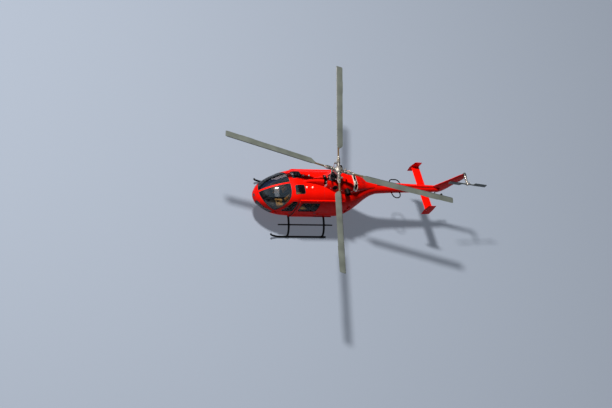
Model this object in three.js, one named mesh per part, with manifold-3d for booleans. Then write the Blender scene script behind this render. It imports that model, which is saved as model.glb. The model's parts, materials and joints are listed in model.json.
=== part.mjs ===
// Light twin-engine helicopter with a rigid four-blade rotor, standing on its skids.
// Millimetres. +X is forward, +Y is the helicopter's left and +Z is up; the skids stand on Z = 0.
// The source is written about the mast, at X = 0, and the last lines centre it on the origin.
import * as THREE from "three";
import { mergeVertices } from "three/addons/utils/BufferGeometryUtils.js";
import Module from "manifold-3d";

const wasm = await Module();
wasm.setup();

// Driving dimensions
const NOSE_X = 2820;
const CABIN_HALF_WIDTH = 790;
const BELLY_Z = 580;
const ROOF_Z = 2090;
const WALL = 35;
const GLASS = 8;
const GLASS_DEPTH = 10;
const DOOR_GAP = 5;
const SEAT_GAP = 0.3;
const FLOOR_Z = 700;
const FLOOR_THICK = 40;
const ROTOR_RADIUS = 4920;
const ROTOR_CHORD = 270;
const HUB_Z = 2920;
const PRECONE = THREE.MathUtils.degToRad(2.5);
const ROTOR_PHASE = THREE.MathUtils.degToRad(-16);
const TAIL_ROTOR = new THREE.Vector3(-5950, 430, 2790);
const TAIL_ROTOR_RADIUS = 950;
const TAIL_ROTOR_CHORD = 180;
const TAIL_ROTOR_PHASE = THREE.MathUtils.degToRad(9.5);
const BOOM_Z = 1740;
const SKID_Y = 1252;
const SKID_RADIUS = 38;
const LEG_RADIUS = 40;
const STEP_RADIUS = 24;
const STEP_Y = 959;
const STEP_Z = 451;
const STEP_X = [-740, 1720];
const CROSS_TUBE_X = { front: 1200, rear: -400 };
const SIDES = { left: 1, right: -1 };

// Materials
const paint = (color, roughness = 0.3) => new THREE.MeshStandardMaterial({ color, roughness, metalness: 0 });
const metal = (color, roughness = 0.35) => new THREE.MeshStandardMaterial({ color, roughness, metalness: 1 });
const RED = paint(0xd81308, 0.22);
const GLAZING = new THREE.MeshStandardMaterial({ color: 0x2a3440, roughness: 0.05, transparent: true, opacity: 0.45 });
const BLACK = paint(0x101214, 0.45);
const BLADE = paint(0x7d8480, 0.5);
const STEEL = metal(0xb9b6ae, 0.3);
const DARK_METAL = metal(0x3a3c40, 0.4);
const EXHAUST = metal(0xb8aea0, 0.35);
const UPHOLSTERY = paint(0xb08a4a, 0.8);
const INTERIOR = paint(0x2b2d30, 0.8);
const ALUMINIUM = metal(0x9a9c9e, 0.5);

const helicopter = new THREE.Group();

// Solids: three.js geometry in and out of manifold-3d
function solid(geometry) {
  const bare = geometry.clone();
  bare.deleteAttribute("normal");
  bare.deleteAttribute("uv");
  const merged = mergeVertices(bare, 1e-3);
  const index = merged.index ? merged.index.array : [...Array(merged.attributes.position.count).keys()];
  const made = new wasm.Manifold(new wasm.Mesh({
    numProp: 3,
    vertProperties: new Float32Array(merged.attributes.position.array),
    triVerts: new Uint32Array(index),
  }));
  return made;
}

function geometryOf(manifold) {
  const mesh = manifold.getMesh();
  const positions = new Float32Array(mesh.numVert * 3);
  for (let i = 0; i < mesh.numVert; i++)
    positions.set(mesh.vertProperties.subarray(i * mesh.numProp, i * mesh.numProp + 3), i * 3);
  const geometry = new THREE.BufferGeometry();
  geometry.setAttribute("position", new THREE.BufferAttribute(positions, 3));
  geometry.setIndex(new THREE.BufferAttribute(mesh.triVerts, 1));
  geometry.computeVertexNormals();
  return geometry;
}

function addNode(name, manifold, material, parent = helicopter) {
  const mesh = new THREE.Mesh(geometryOf(manifold), material);
  mesh.name = name;
  parent.add(mesh);
  return mesh;
}

const join = (...solids) => solids.reduce((a, b) => a.add(b));

// Basic forms
function box(x0, x1, y0, y1, z0, z1) {
  const geometry = new THREE.BoxGeometry(Math.abs(x1 - x0), Math.abs(y1 - y0), Math.abs(z1 - z0));
  geometry.translate((x0 + x1) / 2, (y0 + y1) / 2, (z0 + z1) / 2);
  return solid(geometry);
}

function rod(from, to, radiusFrom, radiusTo = radiusFrom, sides = 16) {
  const a = new THREE.Vector3(...from);
  const b = new THREE.Vector3(...to);
  const geometry = new THREE.CylinderGeometry(radiusTo, radiusFrom, a.distanceTo(b), sides);
  const turn = new THREE.Quaternion().setFromUnitVectors(new THREE.Vector3(0, 1, 0), b.clone().sub(a).normalize());
  geometry.applyQuaternion(turn);
  const middle = a.clone().add(b).multiplyScalar(0.5);
  geometry.translate(middle.x, middle.y, middle.z);
  return solid(geometry);
}

// A round tube along a curve, closed at both ends
function tube(points, radius, steps, sides = 10) {
  const section = new THREE.Shape();
  for (let i = 0; i < sides; i++) {
    const a = (2 * Math.PI * i) / sides;
    const move = i ? "lineTo" : "moveTo";
    section[move](radius * Math.cos(a), radius * Math.sin(a));
  }
  section.closePath();
  const path = new THREE.CatmullRomCurve3(points.map((p) => new THREE.Vector3(...p)), false, "centripetal");
  return solid(new THREE.ExtrudeGeometry(section, { steps, bevelEnabled: false, extrudePath: path }));
}

// A closed skin through rings of points, with a fan over each end
function loft(rings) {
  const count = rings[0].length;
  const positions = rings.flat(2);
  const index = [];
  for (let r = 0; r + 1 < rings.length; r++)
    for (let i = 0; i < count; i++) {
      const j = (i + 1) % count;
      const [a, b, c, d] = [r * count + i, r * count + j, (r + 1) * count + j, (r + 1) * count + i];
      index.push(a, b, c, a, c, d);
    }
  for (const [ring, flip] of [[0, true], [rings.length - 1, false]]) {
    const centre = [0, 1, 2].map((k) => rings[ring].reduce((sum, p) => sum + p[k], 0) / count);
    const at = positions.length / 3;
    positions.push(...centre);
    for (let i = 0; i < count; i++) {
      const [a, b] = [ring * count + i, ring * count + ((i + 1) % count)];
      index.push(...(flip ? [at, b, a] : [at, a, b]));
    }
  }
  const geometry = new THREE.BufferGeometry();
  geometry.setAttribute("position", new THREE.BufferAttribute(new Float32Array(positions), 3));
  geometry.setIndex(index);
  const made = solid(geometry);
  return made.volume() < 0 ? solid(inverted(geometry)) : made;
}

function inverted(geometry) {
  const index = [...geometry.index.array];
  for (let i = 0; i < index.length; i += 3) [index[i + 1], index[i + 2]] = [index[i + 2], index[i + 1]];
  const turned = geometry.clone();
  turned.setIndex(index);
  return turned;
}

// The outline moved inwards by a distance, corner by corner
function inset(outline, distance) {
  const area = outline.reduce((sum, [x, y], i) => {
    const [u, v] = outline[(i + 1) % outline.length];
    return sum + x * v - u * y;
  }, 0);
  const side = Math.sign(area);
  const corner = (i) => new THREE.Vector2(...outline[(i + outline.length) % outline.length]);
  return outline.map((_, i) => {
    const before = corner(i).sub(corner(i - 1)).normalize();
    const after = corner(i + 1).sub(corner(i)).normalize();
    const n = new THREE.Vector2(-before.y, before.x).multiplyScalar(side);
    const m = new THREE.Vector2(-after.y, after.x).multiplyScalar(side);
    const middle = n.clone().add(m);
    middle.multiplyScalar(distance / (1 + n.dot(m)));
    return [outline[i][0] + middle.x, outline[i][1] + middle.y];
  });
}

// A flat outline with rounded corners
function roundedShape(outline, radius) {
  const shape = new THREE.Shape();
  const count = outline.length;
  outline.forEach((p, i) => {
    const here = new THREE.Vector2(...p);
    const before = new THREE.Vector2(...outline[(i + count - 1) % count]);
    const after = new THREE.Vector2(...outline[(i + 1) % count]);
    const r = Math.min(radius, here.distanceTo(before) / 2.2, here.distanceTo(after) / 2.2);
    const start = here.clone().add(before.sub(here).setLength(r));
    const end = here.clone().add(after.sub(here).setLength(r));
    const move = i ? "lineTo" : "moveTo";
    shape[move](start.x, start.y);
    shape.quadraticCurveTo(here.x, here.y, end.x, end.y);
  });
  shape.closePath();
  return shape;
}

// A prism of an outline in one plane: "side" takes x, z and runs along Y, "front" takes y, z and runs along X,
// "top" takes x, y and runs along Z
function prism(plane, outline, from, to, radius = 0) {
  const shape = radius ? roundedShape(outline, radius) : new THREE.Shape(outline.map((p) => new THREE.Vector2(...p)));
  const geometry = new THREE.ExtrudeGeometry(shape, { depth: to - from, bevelEnabled: false, curveSegments: 4 });
  geometry.translate(0, 0, from);
  const axes = {
    side: [1, 0, 0, 0, 0, 0, -1, 0, 0, 1, 0, 0, 0, 0, 0, 1],
    front: [0, 0, 1, 0, 1, 0, 0, 0, 0, 1, 0, 0, 0, 0, 0, 1],
    top: [1, 0, 0, 0, 0, 1, 0, 0, 0, 0, 1, 0, 0, 0, 0, 1],
  };
  geometry.applyMatrix4(new THREE.Matrix4().set(...axes[plane]));
  return solid(geometry);
}

// A prism through one flank of the body, from an outline of x, z
function flank(side, outline, radius, near = 250, far = 1100) {
  return side > 0 ? prism("side", outline, -far, -near, radius) : prism("side", outline, near, far, radius);
}

// The pod's skin: superellipse halves that meet at the waist
const POD = [
  // x, half width, bottom, waist, top, bottom power, top power
  [NOSE_X, 60, 990, 1050, 1110, 2.0, 2.0],
  [2785, 205, 860, 1055, 1240, 2.1, 2.0],
  [2700, 340, 750, 1065, 1375, 2.3, 2.0],
  [2560, 470, 672, 1080, 1520, 2.6, 2.1],
  [2360, 592, 620, 1100, 1675, 2.9, 2.2],
  [2080, 700, 592, 1120, 1835, 3.3, 2.35],
  [1700, 770, 582, 1150, 1985, 3.7, 2.6],
  [1340, CABIN_HALF_WIDTH, BELLY_Z, 1180, ROOF_Z, 3.9, 2.9],
  [-650, CABIN_HALF_WIDTH, BELLY_Z, 1180, ROOF_Z, 3.9, 2.9],
  [-950, 767, 596, 1220, ROOF_Z, 3.5, 2.9],
  [-1220, 705, 725, 1310, 2058, 3.0, 2.7],
  [-1500, 582, 950, 1440, 2045, 2.6, 2.4],
  [-1780, 430, 1210, 1580, 2025, 2.2, 2.1],
  [-2050, 312, 1400, 1690, 2005, 2.0, 2.0],
  [-2300, 250, 1490, 1740, 1990, 2.0, 2.0],
];
const RING_POINTS = 36;

function superRing(x, halfWidth, bottom, waist, top, bottomPower, topPower, count = RING_POINTS) {
  return Array.from({ length: count }, (_, i) => {
    const a = (2 * Math.PI * i) / count;
    const [c, s] = [Math.cos(a), Math.sin(a)];
    const power = 2 / (s < 0 ? bottomPower : topPower);
    const height = s < 0 ? waist - bottom : top - waist;
    return [x, Math.sign(c) * halfWidth * Math.abs(c) ** power, waist + Math.sign(s) * height * Math.abs(s) ** power];
  });
}

// The pod's hull moved outwards by a distance, or inwards where it is negative
function pod(offset) {
  const rows = POD.filter(([, halfWidth]) => halfWidth + offset > 100 || offset >= 0);
  return loft(rows.map(([x, halfWidth, bottom, waist, top, bottomPower, topPower]) => {
    const noseShare = Math.max(0, (x - 1340) / (NOSE_X - 1340));
    return superRing(x + offset * noseShare, halfWidth + offset, bottom - offset, waist, top + offset,
      bottomPower, topPower);
  }));
}

const podOuter = pod(0);
const podInner = pod(-WALL);
const podWall = podOuter.subtract(podInner);
const paneBand = pod(-GLASS_DEPTH).subtract(pod(-GLASS_DEPTH - GLASS));

// Outlines seen from the side, as x, z
const WINDSCREEN = [[2720, 1292], [2575, 1236], [2380, 1140], [2105, 1062], [1790, 1640], [1715, 1800], [1680, 1990],
  [1675, 2400], [3000, 2400], [3000, 1330]];
const POST_HALF_WIDTH = 32;
const FRONT_DOOR = [[2100, 860], [2060, 960], [1695, 1640], [1600, 1790], [1340, 1800], [1340, 700], [2010, 700]];
const FRONT_PANE = [[1915, 1110], [1665, 1600], [1600, 1725], [1400, 1735], [1400, 1150]];
const SLIDE_DOOR = [[1320, 1790], [1320, 690], [300, 690], [300, 1790]];
const SLIDE_PANE = [[1225, 1722], [1225, 1210], [385, 1210], [385, 1722]];
const CORNER = 70;
const CLAMSHELL_FRONT_X = -1010;
const CLAMSHELL_TOP = [[CLAMSHELL_FRONT_X, 1650], [-1950, 1650], [-1950, 400], [CLAMSHELL_FRONT_X, 400]];
const CHIN_PANE = [[225, 1050], [330, 1080], [450, 1045], [570, 988], [690, 975], [690, 800], [560, 690], [300, 660],
  [205, 690]];
const CHIN_REAR_X = 2172;
const ROOF_PANE = [[1552, 155], [1550, 520], [1135, 515], [1150, 150]];
const SLIDE_STANDOFF = 6;
const SLIDE_THICK = 30;
const SLIDE_OVERLAP = 18;

// The pod's shell, with its openings cut
let shell = podWall;
shell = shell.subtract(box(-2260, -2400, -600, 600, 900, 2400));
for (const side of Object.values(SIDES)) {
  shell = shell
    .subtract(flank(side, WINDSCREEN, 60, POST_HALF_WIDTH))
    .subtract(flank(side, FRONT_DOOR, CORNER))
    .subtract(flank(side, inset(SLIDE_DOOR, SLIDE_OVERLAP), CORNER))
    .subtract(prism("front", mirrored(CHIN_PANE, side), CHIN_REAR_X, 3000, 45))
    .subtract(prism("top", mirroredTop(ROOF_PANE, side), 1880, 2300, 55));
}
shell = shell.subtract(prism("side", CLAMSHELL_TOP, -900, 900));

function mirrored(outline, side) {
  return outline.map(([y, z]) => [y * side, z]);
}

function mirroredTop(outline, side) {
  return outline.map(([x, y]) => [x, y * side]);
}

// Rails that carry the sliding doors, and the ledges that they leave for the door's edges
const RAIL_X = [-640, 1330];
const railBand = pod(SLIDE_STANDOFF + SLIDE_THICK + 4).subtract(pod(-5));
for (const side of Object.values(SIDES))
  for (const [low, high] of [[650, 689.5], [1790.5, 1825]]) {
    const slot = [[RAIL_X[0], low], [RAIL_X[1], low], [RAIL_X[1], high], [RAIL_X[0], high]];
    shell = shell.add(railBand.intersect(flank(side, slot, 0)));
  }

// Door hinges: lugs on the body, and a barrel on the door between them, on one vertical axis
const HINGE_RADIUS = 11;
const HINGE_HALF_HEIGHT = 32;
const LUG_HEIGHT = 18;
const PIN_GAP = 0.5;
const HINGES = {
  // the axis at the body's left side, the barrels' heights, where the leaf enters the door and ends, and the lugs' end
  front_door: { x: 2104, y: 712, heights: [940], rootX: 2044, leafX: 1990, lugX: 2155, reachY: 635 },
  clamshell_door: { x: -1012, y: 786, heights: [1180, 1440], rootX: -1020, leafX: -1060, lugX: -960, reachY: 715 },
};

function hingeLugs({ x, y, heights, lugX, reachY }, side) {
  return heights.flatMap((z) => [-1, 1].map((end) => {
    const [low, high] = [HINGE_HALF_HEIGHT + PIN_GAP, HINGE_HALF_HEIGHT + PIN_GAP + LUG_HEIGHT].map((h) => z + end * h);
    return join(rod([x, y * side, low], [x, y * side, high], HINGE_RADIUS),
      box(x, lugX, (y + HINGE_RADIUS * 0.8) * side, reachY * side, low, high));
  }));
}

function hingeLeaves({ x, y, heights, rootX, leafX, reachY }, side) {
  const outerY = (y + HINGE_RADIUS * 0.8) * side;
  return heights.map((z) => {
    const [low, high] = [z - HINGE_HALF_HEIGHT, z + HINGE_HALF_HEIGHT];
    const strap = box(x, leafX, outerY, reachY * side, low, high).subtract(strapClearance);
    return join(rod([x, y * side, low], [x, y * side, high], HINGE_RADIUS), strap,
      box(rootX, leafX, outerY, reachY * side, low, high));
  });
}

const cabinSpace = pod(-WALL);
const strapClearance = pod(4);
for (const side of Object.values(SIDES))
  for (const hinge of Object.values(HINGES))
    for (const lug of hingeLugs(hinge, side)) shell = shell.add(lug.subtract(cabinSpace));
addNode("cabin_shell", shell, RED);

// Panes, set into their openings
function pane(cutter) {
  return paneBand.intersect(cutter);
}

for (const [name, side] of Object.entries(SIDES)) {
  addNode("windscreen_" + name, pane(flank(side, inset(WINDSCREEN, SEAT_GAP), 60, POST_HALF_WIDTH + SEAT_GAP)), GLAZING);
  addNode("chin_window_" + name,
    pane(prism("front", inset(mirrored(CHIN_PANE, side), SEAT_GAP), CHIN_REAR_X + SEAT_GAP, 3000, 45)), GLAZING);
  addNode("roof_window_" + name,
    pane(prism("top", inset(mirroredTop(ROOF_PANE, side), SEAT_GAP), 1880, 2300, 55)), GLAZING);
}

// Doors
const slideWall = pod(SLIDE_STANDOFF + SLIDE_THICK).subtract(pod(SLIDE_STANDOFF));
const slidePaneBand = pod(SLIDE_STANDOFF + 18).subtract(pod(SLIDE_STANDOFF + 10));
for (const [name, side] of Object.entries(SIDES)) {
  let front = podWall.intersect(flank(side, inset(FRONT_DOOR, DOOR_GAP), CORNER - DOOR_GAP));
  front = front.subtract(flank(side, FRONT_PANE, 60));
  front = join(front, ...hingeLeaves(HINGES.front_door, side).map((leaf) => leaf.subtract(cabinSpace)));
  addNode("front_door_" + name, front, RED);
  addNode("front_door_glass_" + name, pane(flank(side, inset(FRONT_PANE, SEAT_GAP), 60)), GLAZING);

  const sliding = slideWall.intersect(flank(side, SLIDE_DOOR, CORNER)).subtract(flank(side, SLIDE_PANE, 90));
  addNode("sliding_door_" + name, sliding, RED);
  addNode("sliding_door_glass_" + name,
    slidePaneBand.intersect(flank(side, inset(SLIDE_PANE, SEAT_GAP), 90)), GLAZING);

  const half = side > 0 ? box(-3000, 0, DOOR_GAP / 2, 900, 300, 2000) : box(-3000, 0, -900, -DOOR_GAP / 2, 300, 2000);
  let clam = podWall.intersect(prism("side", inset(CLAMSHELL_TOP, DOOR_GAP), -900, 900)).intersect(half);
  clam = join(clam, ...hingeLeaves(HINGES.clamshell_door, side).map((leaf) => leaf.subtract(cabinSpace)));
  addNode("clamshell_door_" + name, clam, RED);
}

// Cabin: floor, seats and instrument panel
const cabinInside = pod(-WALL - SEAT_GAP);
const floor = cabinInside.intersect(box(-1000, 2400, -800, 800, FLOOR_Z - FLOOR_THICK, FLOOR_Z - 10));
addNode("cabin_floor", floor, INTERIOR);
const FLOOR_TOP = FLOOR_Z - 10 + SEAT_GAP;

function seat(x, y0, y1) {
  const base = box(x + 40, x + 380, y0 + 60, y1 - 60, FLOOR_TOP, FLOOR_TOP + 230);
  const cushion = prism("side", [[x + 20, FLOOR_TOP + 220], [x + 500, FLOOR_TOP + 250], [x + 500, FLOOR_TOP + 340],
    [x + 20, FLOOR_TOP + 310]], -y1, -y0, 30);
  const back = prism("side", [[x + 110, FLOOR_TOP + 240], [x - 20, FLOOR_TOP + 900], [x - 110, FLOOR_TOP + 880],
    [x - 10, FLOOR_TOP + 230]], -y1, -y0, 30);
  return join(base, cushion, back).intersect(pod(-WALL - 5));
}

const FRONT_SEAT_X = 1420;
const REAR_SEAT_X = 420;
addNode("front_seat_left", seat(FRONT_SEAT_X, 110, 570), UPHOLSTERY);
addNode("front_seat_right", seat(FRONT_SEAT_X, -570, -110), UPHOLSTERY);
addNode("rear_bench", seat(REAR_SEAT_X, -620, 620), UPHOLSTERY);
const panel = prism("side", [[2080, FLOOR_TOP], [2380, FLOOR_TOP], [2440, 1020], [2300, 1180], [2200, 1180]],
  -230, 230, 20);
addNode("instrument_panel", panel.intersect(pod(-WALL - 20)), INTERIOR);

// Gearbox fairing and engine cowling on the roof
const COWL = [
  // x, half width, top
  [1140, 45, 2100], [1080, 62, 2128], [800, 95, 2215], [500, 155, 2298], [250, 235, 2360], [60, 325, 2410],
  [-100, 385, 2430], [-400, 435, 2442], [-700, 470, 2440], [-940, 475, 2425], [-1130, 440, 2325], [-1450, 340, 2205],
  [-1800, 240, 2068], [-2150, 165, 2010],
];
const COWL_WALL = 20;
const COWL_SPLIT_X = -350;
const MAST_OPENING = 215;
const INTAKE = { front: 305, rear: 235, halfWidth: 250 };
const OUTLET = { front: -955, rear: -1120, halfWidth: 330 };

function cowl(offset) {
  return loft(COWL.map(([x, halfWidth, top]) =>
    superRing(x, halfWidth + offset, 1700 - offset, 1900, top + offset, 3.2, 3.2, 28)));
}

const EXHAUSTS = {
  // inner end, open end, outer radius at the left side
  outer: { from: [-630, 300, 2192], to: [-640, 640, 2215], radius: 98, node: "exhaust_outer_" },
  inner: { from: [-960, 180, 2210], to: [-1045, 205, 2400], radius: 74, node: "exhaust_inner_" },
};

function pipe({ from, to, radius }, side, grow = 0) {
  const a = new THREE.Vector3(from[0], from[1] * side, from[2]);
  const b = new THREE.Vector3(to[0], to[1] * side, to[2]);
  const beyond = b.clone().sub(a).setLength(2 * grow);
  return rod(a.clone().sub(beyond).toArray(), b.clone().add(beyond).toArray(), radius + grow, radius + grow, 20);
}

function pipeBore({ from, to, radius }, side) {
  const a = new THREE.Vector3(from[0], from[1] * side, from[2]);
  const b = new THREE.Vector3(to[0], to[1] * side, to[2]);
  const beyond = b.clone().sub(a).setLength(20);
  return rod(a.clone().sub(beyond).toArray(), b.clone().add(beyond).toArray(), radius - 8, radius - 8, 20);
}

let cowling = cowl(0).subtract(cowl(-COWL_WALL)).subtract(pod(SEAT_GAP));
cowling = cowling.subtract(rod([0, 0, 2200], [0, 0, 2600], MAST_OPENING, MAST_OPENING, 28));
cowling = cowling.subtract(box(INTAKE.front, INTAKE.rear, -INTAKE.halfWidth, INTAKE.halfWidth, 2180, 2500))
  .subtract(box(OUTLET.front, OUTLET.rear, -OUTLET.halfWidth, OUTLET.halfWidth, 2190, 2500));
for (const side of Object.values(SIDES)) {
  for (const exhaust of Object.values(EXHAUSTS)) cowling = cowling.subtract(pipe(exhaust, side, SEAT_GAP));
}
addNode("gearbox_fairing", cowling.intersect(box(COWL_SPLIT_X, 2000, -900, 900, 1500, 3000)), RED);
addNode("engine_cowling", cowling.intersect(box(-3000, COWL_SPLIT_X - SEAT_GAP, -900, 900, 1500, 3000)), RED);

const insideCowl = cowl(-COWL_WALL - 10).subtract(pod(SEAT_GAP));
for (const [name, side] of Object.entries(SIDES)) {
  let engine = box(-1330, -470, 70 * side, 440 * side, 1900, 2360).intersect(insideCowl);
  for (const exhaust of Object.values(EXHAUSTS)) engine = engine.subtract(pipe(exhaust, side, SEAT_GAP));
  addNode("engine_" + name, engine, ALUMINIUM);
  for (const exhaust of Object.values(EXHAUSTS))
    addNode(exhaust.node + name, pipe(exhaust, side).subtract(pipeBore(exhaust, side)), EXHAUST);
}
const gearbox = join(box(-280, 280, -260, 260, 1900, 2290).intersect(insideCowl),
  rod([0, 0, 2250], [0, 0, 2400], 190, 150, 20), rod([0, 0, 2380], [0, 0, 2470], 110, 95, 20));
addNode("main_gearbox", gearbox, ALUMINIUM);

// Thin sections: a round-nosed wing section and a neck, both of the same number of points
const STATIONS = [1, 0.78, 0.52, 0.28, 0.12, 0.03, 0];

function wingSection(chord, thickness, quarter = 0.25) {
  const half = (s) => Math.max(1, 5 * thickness * (0.2969 * Math.sqrt(s) - 0.126 * s - 0.3516 * s ** 2
    + 0.2843 * s ** 3 - 0.1015 * s ** 4));
  const point = (s, end) => [(quarter - s) * chord, end * (s ? half(s) : 0)];
  return [...STATIONS.map((s) => point(s, 1)), ...STATIONS.slice(0, -1).reverse().map((s) => point(s, -1))];
}

function neckSection(width, thickness) {
  const point = (s, end) => {
    const u = 1 - 2 * Math.min(s, 0.96);
    return [0.5 * width * u, end * 0.5 * thickness * Math.sqrt(1 - u * u) ** 0.6];
  };
  return [...STATIONS.map((s) => point(s, 1)), ...STATIONS.slice(0, -1).reverse().map((s) => point(s, -1))];
}

// Tail boom, with the drive shaft's cover on top
const BOOM = [[-2260, 252], [-2600, 226], [-3000, 204], [-3700, 178], [-4500, 152], [-5000, 134], [-5300, 112]];

function boomHull(grow, bore = 0) {
  const rows = BOOM.map(([x, radius]) => superRing(x, radius - bore + grow, BOOM_Z - radius + bore - grow, BOOM_Z,
    BOOM_Z + radius - bore + grow, 2, 2, 24));
  if (bore) rows.pop();
  return loft(rows);
}

const spine = loft([[-2260, 60], [-2700, 52], [-4900, 40], [-5150, 30]].map(([x, half]) => {
  const radius = THREE.MathUtils.mapLinear(x, -2260, -5200, 250, 120);
  return [[x, half, BOOM_Z + radius * 0.8], [x, half * 0.8, BOOM_Z + radius + 26], [x, 0, BOOM_Z + radius + 40],
    [x, -half * 0.8, BOOM_Z + radius + 26], [x, -half, BOOM_Z + radius * 0.8]];
}));

const STABILIZER = { x: -4360, chord: 370, halfSpan: 1000, z: 1735, thickness: 0.13 };

function stabilizerHull(grow) {
  const { x, chord, halfSpan, z, thickness } = STABILIZER;
  return loft([-halfSpan, halfSpan].map((y) => wingSection(chord + 2 * grow, thickness * chord + 4 * grow)
    .map(([u, v]) => [x + grow + u - 0.25 * (chord + 2 * grow), y, z + v])));
}

// Fin: sections from its root to its tip, each from a front edge to a rear edge
const FIN = [
  // front x, front z, rear x, rear z, thickness
  [-4820, 1780, -5380, 1480, 120], [-4960, 1940, -5560, 1620, 150], [-5420, 2430, -5850, 2120, 130],
  [-5770, 2810, -6055, 2480, 104], [-5850, 2865, -6085, 2565, 70],
];

function finHull(grow) {
  return loft(FIN.map(([frontX, frontZ, rearX, rearZ, thickness]) => {
    const front = new THREE.Vector2(frontX, frontZ);
    const along = new THREE.Vector2(rearX, rearZ).sub(front);
    const chord = along.length() + 2 * grow;
    along.normalize();
    return wingSection(chord, thickness / 2 + 2 * grow, 0).map(([u, v]) =>
      [frontX + along.x * (-u - grow), v, frontZ + along.y * (-u - grow)]);
  }));
}

function tailGearboxHull(grow) {
  const { x, y, z } = TAIL_ROTOR;
  return join(rod([x, -80 - grow, z], [x, 130 + grow, z], 66 + grow, 66 + grow, 16),
    rod([x, 120, z], [x, y - 150 + grow, z], 48 + grow, 42 + grow, 16));
}

const boom = join(boomHull(0), spine).subtract(boomHull(0, 14)).subtract(stabilizerHull(SEAT_GAP));
addNode("tail_boom", boom, RED);
addNode("stabilizer", stabilizerHull(0), RED);
const boomGrown = join(boomHull(SEAT_GAP), spine.translate(0, 0, SEAT_GAP));
const fin = finHull(0).subtract(boomGrown).subtract(tailGearboxHull(SEAT_GAP));
addNode("tail_fin", fin, RED);
addNode("tail_gearbox", tailGearboxHull(0), DARK_METAL);

for (const [name, side] of Object.entries(SIDES)) {
  const y = (STABILIZER.halfSpan + SEAT_GAP) * side;
  const plate = loft([[-4330, 1450, 360], [-4290, 1735, 420], [-4370, 2060, 330]].map(([x, z, chord]) =>
    wingSection(chord, 14, 0).map(([u, v]) => [x + u, y + side * (v > 0 ? 2 * v : 0), z])));
  addNode("endplate_" + name, plate, RED);
}

const bumper = join(tube([[-5290, 0, 1560], [-5330, 0, 1350], [-5400, 0, 1262], [-5530, 0, 1232], [-5660, 0, 1270],
  [-5725, 0, 1312]], 15, 16, 8), rod([-5712, 0, 1302], [-5756, 0, 1330], 26, 26, 12));
const finGrown = join(finHull(SEAT_GAP), finHull(SEAT_GAP).translate(0, 0, -SEAT_GAP));
addNode("tail_bumper", bumper.subtract(finGrown).subtract(boomGrown), BLACK);

for (const [name, side, near, far] of [["left", 1, -3070, -3450], ["right", -1, -3110, -3600]]) {
  const loop = tube([[near, 120 * side, 1690], [near, 260 * side, 1690], [near - 20, 370 * side, 1690],
    [near - 110, 446 * side, 1690], [far + 110, 446 * side, 1690], [far + 15, 370 * side, 1690],
    [far, 260 * side, 1690], [far, 120 * side, 1690]], 9, 22, 8);
  addNode("loop_antenna_" + name, loop.subtract(boomGrown), DARK_METAL);
}

// Landing gear
const LEG = [[1252, 60], [1232, 120], [1165, 225], [1060, 318], [930, 398], [780, 470], [640, 520], [500, 539.7]];
const stepBar = (side, grow) => rod([STEP_X[0], STEP_Y * side, STEP_Z], [STEP_X[1], STEP_Y * side, STEP_Z],
  STEP_RADIUS + grow, STEP_RADIUS + grow, 12);
for (const [name, x] of Object.entries(CROSS_TUBE_X)) {
  const points = [...LEG.map(([y, z]) => [x, y, z]), ...[...LEG].reverse().map(([y, z]) => [x, -y, z])];
  let crossTube = tube(points, LEG_RADIUS, 30, 10);
  crossTube = crossTube.subtract(pod(SEAT_GAP));
  for (const side of Object.values(SIDES))
    crossTube = crossTube.subtract(rod([-3000, SKID_Y * side, SKID_RADIUS], [3000, SKID_Y * side, SKID_RADIUS],
      SKID_RADIUS + SEAT_GAP, SKID_RADIUS + SEAT_GAP, 16)).subtract(stepBar(side, SEAT_GAP));
  addNode("cross_tube_" + name, crossTube, BLACK);
}
for (const [name, side] of Object.entries(SIDES)) {
  const y = SKID_Y * side;
  const z = SKID_RADIUS;
  const bow = tube([[1490, y, z], [1620, y, z + 8], [1800, y, z + 60], [1945, y, z + 120], [2012, y, z + 185]],
    SKID_RADIUS - 2, 12, 16);
  addNode("skid_" + name, join(rod([-570, y, z], [1500, y, z], SKID_RADIUS, SKID_RADIUS, 16), bow), BLACK);
  addNode("step_" + name, stepBar(side, 0), BLACK);
}

// Main rotor, written about its hub with blades along X, then turned to its phase
const rotor = new THREE.Group();
rotor.position.set(0, 0, HUB_Z);
helicopter.add(rotor);
const FORK_PLATE = 16;
const FORK_GAP = 52;
const BLADE_ROOT_R = 430;

function turned(manifold, k) {
  return manifold.rotate(0, 0, THREE.MathUtils.radToDeg(ROTOR_PHASE) + 90 * k);
}

function conedUp(manifold) {
  return manifold.rotate(0, -THREE.MathUtils.radToDeg(PRECONE), 0);
}

let hub = join(rod([0, 0, -449.5], [0, 0, 60], 62, 62, 20), rod([0, 0, -95], [0, 0, 95], 175, 150, 24),
  rod([0, 0, 90], [0, 0, 130], 110, 70, 24));
let links = rod([0, 0, -390], [0, 0, -330], 205, 205, 24).subtract(rod([0, 0, -400], [0, 0, -300], 62.3, 62.3, 20));
for (let k = 0; k < 4; k++) {
  const arm = join(rod([100, 0, 0], [360, 0, 0], 68, 60, 14),
    ...[-1, 1].map((end) => box(330, 560, -60, 60, end * FORK_GAP / 2, end * (FORK_GAP / 2 + FORK_PLATE))),
    box(320, 400, -60, 60, -40, 40), box(270, 330, 0, 175, -22, 22));
  hub = hub.add(turned(conedUp(arm), k));
  const link = join(rod([190, 60, -360], [298, 150, -10], 13, 13, 8), rod([170, 40, -372], [225, 90, -345], 24, 24, 8));
  links = links.add(turned(link, k));
}
links = links.subtract(hub.translate(0, 0, -SEAT_GAP)).subtract(hub);
addNode("rotor_hub", hub, STEEL, rotor);
addNode("swashplate", links, DARK_METAL, rotor);
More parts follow.
